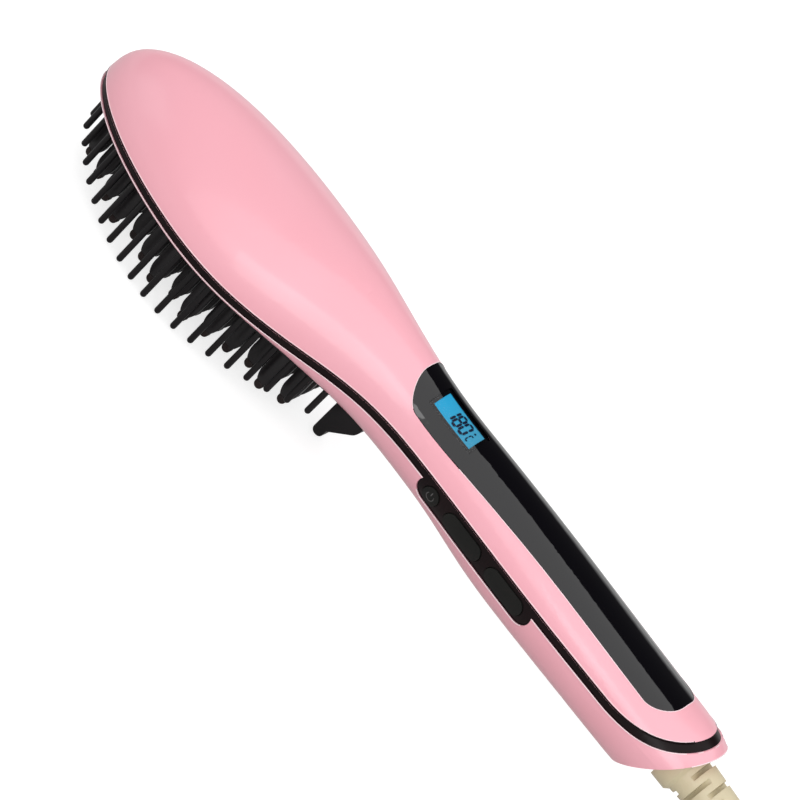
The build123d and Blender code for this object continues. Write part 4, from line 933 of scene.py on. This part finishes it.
class BRUSH_OT_cord(bpy.types.Operator):
    """Lay the mains cord from the strain relief through its tied hank to the plug"""

    bl_idname = "brush.cord"
    bl_label = "Cord and Plug"

    relief_end: bpy.props.FloatProperty(
        name="Relief End", description="Distance of the strain relief's end from the head's tip",
        default=305.3 * MM, unit="LENGTH",
    )
    step: bpy.props.FloatProperty(
        name="Step", description="Run to run in the hank", default=6.4 * MM, unit="LENGTH"
    )
    end_offset: bpy.props.FloatProperty(
        name="End Offset", description="Hank's waist to the middle of a round end",
        default=38.0 * MM, unit="LENGTH",
    )
    inner_radius: bpy.props.FloatProperty(
        name="Inner Radius", description="Radius of the innermost end", default=17.0 * MM,
        unit="LENGTH",
    )
    waist: bpy.props.FloatProperty(
        name="Waist", description="Middle of the waist to the innermost run",
        default=2.6 * MM, unit="LENGTH",
    )
    low_layer: bpy.props.FloatProperty(
        name="Low Layer", description="Height of the lower layer's axis", default=4.3 * MM,
        unit="LENGTH",
    )
    layer_lift: bpy.props.FloatProperty(
        name="Layer Lift", description="Lower layer to upper layer", default=6.1 * MM,
        unit="LENGTH",
    )

    CENTRE = (450.0 * MM, -7.0 * MM)
    # Millimetres from the head's tip, from the middle plane and from the floor
    LEAD = ((326.0, 0.0, 26.5), (346.0, 5.5, 18.5), (368.0, 19.5, 8.0), (388.0, 24.4, 4.3))
    PLUG_LEAD = (
        (457.0, -35.2, 10.4), (431.0, -40.4, 4.4), (405.0, -42.8, 3.1), (379.0, -36.5, 3.3),
        (359.9, -27.3, 6.85), (344.0, -29.0, 6.85),
    )
    LOWER_TURNS = 5
    UPPER_TURNS = 3
    ARC_STEP = math.radians(24)
    WAIST_POINTS = 2
    DULL_SHARE = 0.97

    def spot(self, along, across, height):
        return Vector((TIP_X + self.CENTRE[0] + along, self.CENTRE[1] + across, height))

    def placed(self, points):
        return [Vector((TIP_X + x * MM, y * MM, z * MM)) for x, y, z in points]

    def lean(self, turn):
        """How far a turn's middle lies beside the hank's."""
        return self.step / 4 * (1 - 2 * (turn % 2))

    def arcs(self):
        """Reach of the waist arcs' centre and the angle that each waist arc turns."""
        first = self.waist + self.step / 4
        rise = self.end_offset**2 + first**2 - self.inner_radius**2
        reach = first + rise / (2 * (self.inner_radius - first))
        return reach, math.atan2(self.end_offset, reach)

    def round_end(self, turn, end, heights, start=None, stop=None):
        """Control points round one end of a loop."""
        swing = self.arcs()[1]
        start = math.pi / 2 + swing if start is None else start
        stop = -math.pi / 2 - swing if stop is None else stop
        radius = self.inner_radius + turn * self.step / 2
        middle = self.lean(turn)
        count = max(2, round(abs(start - stop) / self.ARC_STEP))
        step = (stop - start) / count
        grown = radius / math.cos(step / 2)
        points = []
        for place in range(count):
            angle = start + (place + 0.5) * step
            along = end * (self.end_offset + grown * math.cos(angle))
            share = (place + 0.5) / count
            height = heights[0] + (heights[1] - heights[0]) * share
            points.append(self.spot(along, middle + end * grown * math.sin(angle), height))
        return points

    def waist_run(self, turn, end, side, inward, heights):
        """Control points of one half of a run, between the waist and a round end."""
        reach, swing = self.arcs()
        middle = self.lean(turn)
        radius = reach - self.waist - self.step / 4 - turn * self.step / 2
        count = self.WAIST_POINTS
        step = swing / count
        grown = radius / math.cos(step / 2)
        points = []
        for place in range(count):
            angle = (place + 0.5) * step
            share = (place + 0.5) / count
            height = heights[0] + (heights[1] - heights[0]) * (1 - share if inward else share)
            across = middle + side * (reach - grown * math.cos(angle))
            points.append(self.spot(end * grown * math.sin(angle), across, height))
        return points[::-1] if inward else points

    def half_turn(self, turn, end, height, first=None, last=None):
        """Waist, round end and waist again, clockwise."""
        points = self.waist_run(turn, end, end, False, first or (height, height))
        points += self.round_end(turn, end, (height, height))
        points += self.waist_run(turn, end, -end, True, last or (height, height))
        return points

    def route(self):
        """Control points of the whole cord."""
        low = self.low_layer
        high = low + self.layer_lift
        middle = (low + high) / 2
        swing = self.arcs()[1]
        quarter = math.pi / 2
        points = [Vector((TIP_X + self.relief_end, 0.0, CORD_AXIS_Z))]
        points += self.placed(self.LEAD)
        points += self.round_end(self.LOWER_TURNS, -1, (low, low), -quarter, -quarter - swing)
        points += self.waist_run(self.LOWER_TURNS, -1, 1, True, (low, low))
        for turn in reversed(range(self.LOWER_TURNS)):
            end = 1 - 2 * (turn % 2)
            points += self.half_turn(turn, end, low, last=(middle, low) if turn == 0 else None)
        for turn in range(self.UPPER_TURNS):
            end = 2 * (turn % 2) - 1
            first = (middle, high) if turn == 0 else None
            points += self.half_turn(turn, end, high, first=first)
        end = 2 * (self.UPPER_TURNS % 2) - 1
        points += self.waist_run(self.UPPER_TURNS, end, end, False, (high, high))
        points += self.round_end(self.UPPER_TURNS, end, (high, high), quarter + swing, -quarter)
        return points + self.placed(self.PLUG_LEAD)

    def execute(self, context):
        cream = tuple(settings().cord_colour)
        dull = tuple(channel * self.DULL_SHARE for channel in cream)
        rubber = finish("cream cord rubber", cream, dull, (0.42, 0.54), grain=2600.0,
                        patch=45.0, relief=0.012)
        carry(["swivel_core"], rubber)
        carry(["plug_body"], finish(
            "cream moulded plug", (226, 219, 188), (219, 211, 178), (0.34, 0.46), grain=3000.0,
            relief=0.014,
        ))
        carry(["hank_tie"], finish(
            "black tie", (30, 30, 31), (38, 38, 39), (0.6, 0.75), grain=4200.0
        ))
        carry(["plug_pins"], finish(
            "plated pin", (214, 204, 176), (202, 190, 158), (0.16, 0.26), grain=5200.0,
            metallic=1.0,
        ))
        relief = softened_copy("strain_relief", "strain_relief_rounded", settings().edge_round)
        dress(relief, rubber, "swivel", "cord_cream")
        curve = bpy.data.curves.new("mains_cord", "CURVE")
        curve.dimensions = "3D"
        spline = curve.splines.new("NURBS")
        points = self.route()
        spline.points.add(len(points) - 1)
        for point, place in zip(spline.points, points):
            point.co = (*place, 1.0)
        spline.order_u = 3
        spline.use_endpoint_u = True
        spline.resolution_u = 6
        curve.bevel_depth = settings().cord_diameter / 2
        curve.bevel_resolution = 5
        curve.use_fill_caps = True
        cord = bpy.data.objects.new("mains_cord", curve)
        context.collection.objects.link(cord)
        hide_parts("cord_lead", "cord_hank", "plug_lead")
        dress(cord, rubber, "housing", "cord_cream")
        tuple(points[0])
        return {"FINISHED"}


# Stage

class BRUSH_OT_stage(bpy.types.Operator):
    """Add the floor, the soft lamps, the world and the camera"""

    bl_idname = "brush.stage"
    bl_label = "Stage"

    WHITE = (1.0, 1.0, 1.0, 1.0)
    FLOOR_GREY = 0.42
    # Strength of the floor's glow where it is seen, and the part of it that gloss shows
    FLOOR_GLOW = 0.74
    FLOOR_IN_GLOSS = 0.3
    # Strength of the world where it isn't seen
    WORLD_FILL = 0.76
    # In gloss the world fades between these heights of a ray
    CEILING_START, CEILING_STOP = 0.02, 0.25
    CEILING_IN_GLOSS = 0.06
    # It places the edge of the card's reflection in the window
    CARD_TURN = math.radians(-26.6)

    def seen(self, nodes, links):
        """1 for rays from the camera and for those that it sees in gloss or through glass."""
        path = nodes.new("ShaderNodeLightPath")
        both = path.outputs["Is Camera Ray"]
        for name in ("Is Glossy Ray", "Is Transmission Ray"):
            both = combine(nodes, links, "MAXIMUM", both, path.outputs[name])
        return both

    def in_gloss(self, nodes, links, strength, shade):
        """A strength as it is, or in gloss that part of it which shade gives."""
        path = nodes.new("ShaderNodeLightPath")
        share = nodes.new("ShaderNodeMix")
        share.inputs[MIX_NUMBER_A].default_value = 1.0
        if isinstance(shade, float):
            share.inputs[MIX_NUMBER_B].default_value = shade
        else:
            links.new(shade, share.inputs[MIX_NUMBER_B])
        links.new(path.outputs["Is Glossy Ray"], share.inputs[MIX_SHARE])
        return combine(nodes, links, "MULTIPLY", strength, share.outputs[MIX_NUMBER_OUT])

    def pale_floor(self):
        material = bpy.data.materials.new("pale floor")
        material.use_nodes = True
        nodes, links = material.node_tree.nodes, material.node_tree.links
        shader = nodes["Principled BSDF"]
        shader.inputs["Base Color"].default_value = (*[self.FLOOR_GREY] * 3, 1.0)
        shader.inputs["Roughness"].default_value = 0.9
        shader.inputs["Specular IOR Level"].default_value = 0.0
        shader.inputs["Emission Color"].default_value = self.WHITE
        glow = remap(nodes, links, self.seen(nodes, links), after=(0.0, self.FLOOR_GLOW))
        glow = self.in_gloss(nodes, links, glow, self.FLOOR_IN_GLOSS)
        links.new(glow, shader.inputs["Emission Strength"])
        return material

    def pale_world(self):
        world = bpy.data.worlds.new("pale studio")
        world.use_nodes = True
        nodes, links = world.node_tree.nodes, world.node_tree.links
        back = nodes["Background"]
        back.inputs["Color"].default_value = self.WHITE
        heading = nodes.new("ShaderNodeTexCoord")
        split = nodes.new("ShaderNodeSeparateXYZ")
        links.new(heading.outputs["Generated"], split.inputs[0])
        ceiling = remap(
            nodes, links, split.outputs["Z"], before=(self.CEILING_START, self.CEILING_STOP),
            after=(1.0, self.CEILING_IN_GLOSS),
        )
        strength = remap(nodes, links, self.seen(nodes, links), after=(self.WORLD_FILL, 1.0))
        strength = self.in_gloss(nodes, links, strength, ceiling)
        links.new(strength, back.inputs["Strength"])
        return world

    def lamp(self, name, place, size, power):
        """A rectangular soft lamp that looks at the brush."""
        deselect()
        bpy.ops.object.light_add(type="AREA", location=place)
        lamp = bpy.context.object
        lamp.name = name
        lamp.data.shape = "RECTANGLE"
        lamp.data.size, lamp.data.size_y = size
        lamp.data.energy = power
        lamp.rotation_mode = "QUATERNION"
        lamp.rotation_quaternion = (Vector(place) - VIEW_TARGET).to_track_quat("Z", "Y")
        return lamp

    def camera(self, context):
        data = bpy.data.cameras.new("photo_camera")
        data.lens = LENS
        data.sensor_width = 36.0
        data.clip_start = 0.01
        data.clip_end = 50.0
        camera = bpy.data.objects.new("photo_camera", data)
        context.collection.objects.link(camera)
        up = VIEW_BACK.cross(VIEW_RIGHT).normalized()
        right = up.cross(VIEW_BACK).normalized()
        turn = Matrix((right, up, VIEW_BACK.normalized())).transposed()
        camera.rotation_mode = "QUATERNION"
        camera.rotation_quaternion = turn.to_quaternion()
        camera.location = VIEW_TARGET + VIEW_BACK.normalized() * VIEW_DISTANCE
        return camera

    def execute(self, context):
        deselect()
        bpy.ops.mesh.primitive_plane_add(size=8.0, location=(0, 0, 0))
        floor = bpy.context.object
        floor.name = "studio_floor"
        floor.data.materials.append(self.pale_floor())
        power = settings().lamp_power
        overhead = self.lamp("overhead_softbox", (0.05, -0.3, 1.0), (0.9, 0.9), power)
        overhead.visible_glossy = False
        card = self.lamp("gloss_card", (0.045, -0.84, 1.0), (1.1, 3.8), settings().card_power)
        card.rotation_quaternion = Matrix.Rotation(self.CARD_TURN, 3, "Z").to_quaternion()
        card.visible_diffuse = False
        self.lamp("front_softbox", (0.35, -0.95, 0.55), (0.8, 0.6), 2.9 * power)
        behind = self.lamp("far_softbox", (-0.15, 0.9, 0.75), (0.8, 0.6), 1.5 * power)
        behind.visible_glossy = False
        self.lamp("tip_softbox", (-0.9, -0.25, 0.45), (0.5, 0.5), 0.35 * power)
        context.scene.world = self.pale_world()
        context.scene.camera = self.camera(context)
        context.scene.view_settings.view_transform = "Standard"
        return {"FINISHED"}


class BRUSH_PT_panel(bpy.types.Panel):
    """Lists the steps that dress the brush"""

    bl_label = "Hair Straightening Brush"
    bl_idname = "BRUSH_PT_panel"
    bl_space_type = "VIEW_3D"
    bl_region_type = "UI"
    bl_category = "Brush"

    def draw(self, context):
        for step in STEPS:
            self.layout.operator(step.bl_idname)
        for name in BrushSettings.__annotations__:
            self.layout.prop(context.scene.brush_settings, name)


STEPS = (
    BRUSH_OT_shells, BRUSH_OT_edges, BRUSH_OT_window, BRUSH_OT_buttons, BRUSH_OT_comb,
    BRUSH_OT_inside, BRUSH_OT_screws, BRUSH_OT_cord, BRUSH_OT_stage,
)
CLASSES = (BrushSettings, *STEPS, BRUSH_PT_panel)


def register():
    for cls in CLASSES:
        bpy.utils.register_class(cls)
    bpy.types.Scene.brush_settings = bpy.props.PointerProperty(type=BrushSettings)


def unregister():
    del bpy.types.Scene.brush_settings
    for cls in reversed(CLASSES):
        bpy.utils.unregister_class(cls)


def main():
    register()
    bpy.ops.brush.shells()
    bpy.ops.brush.edges()
    bpy.ops.brush.window()
    bpy.ops.brush.buttons()
    bpy.ops.brush.comb()
    bpy.ops.brush.inside()
    bpy.ops.brush.screws()
    bpy.ops.brush.cord()
    bpy.ops.brush.stage()


if __name__ == "__main__":
    main()
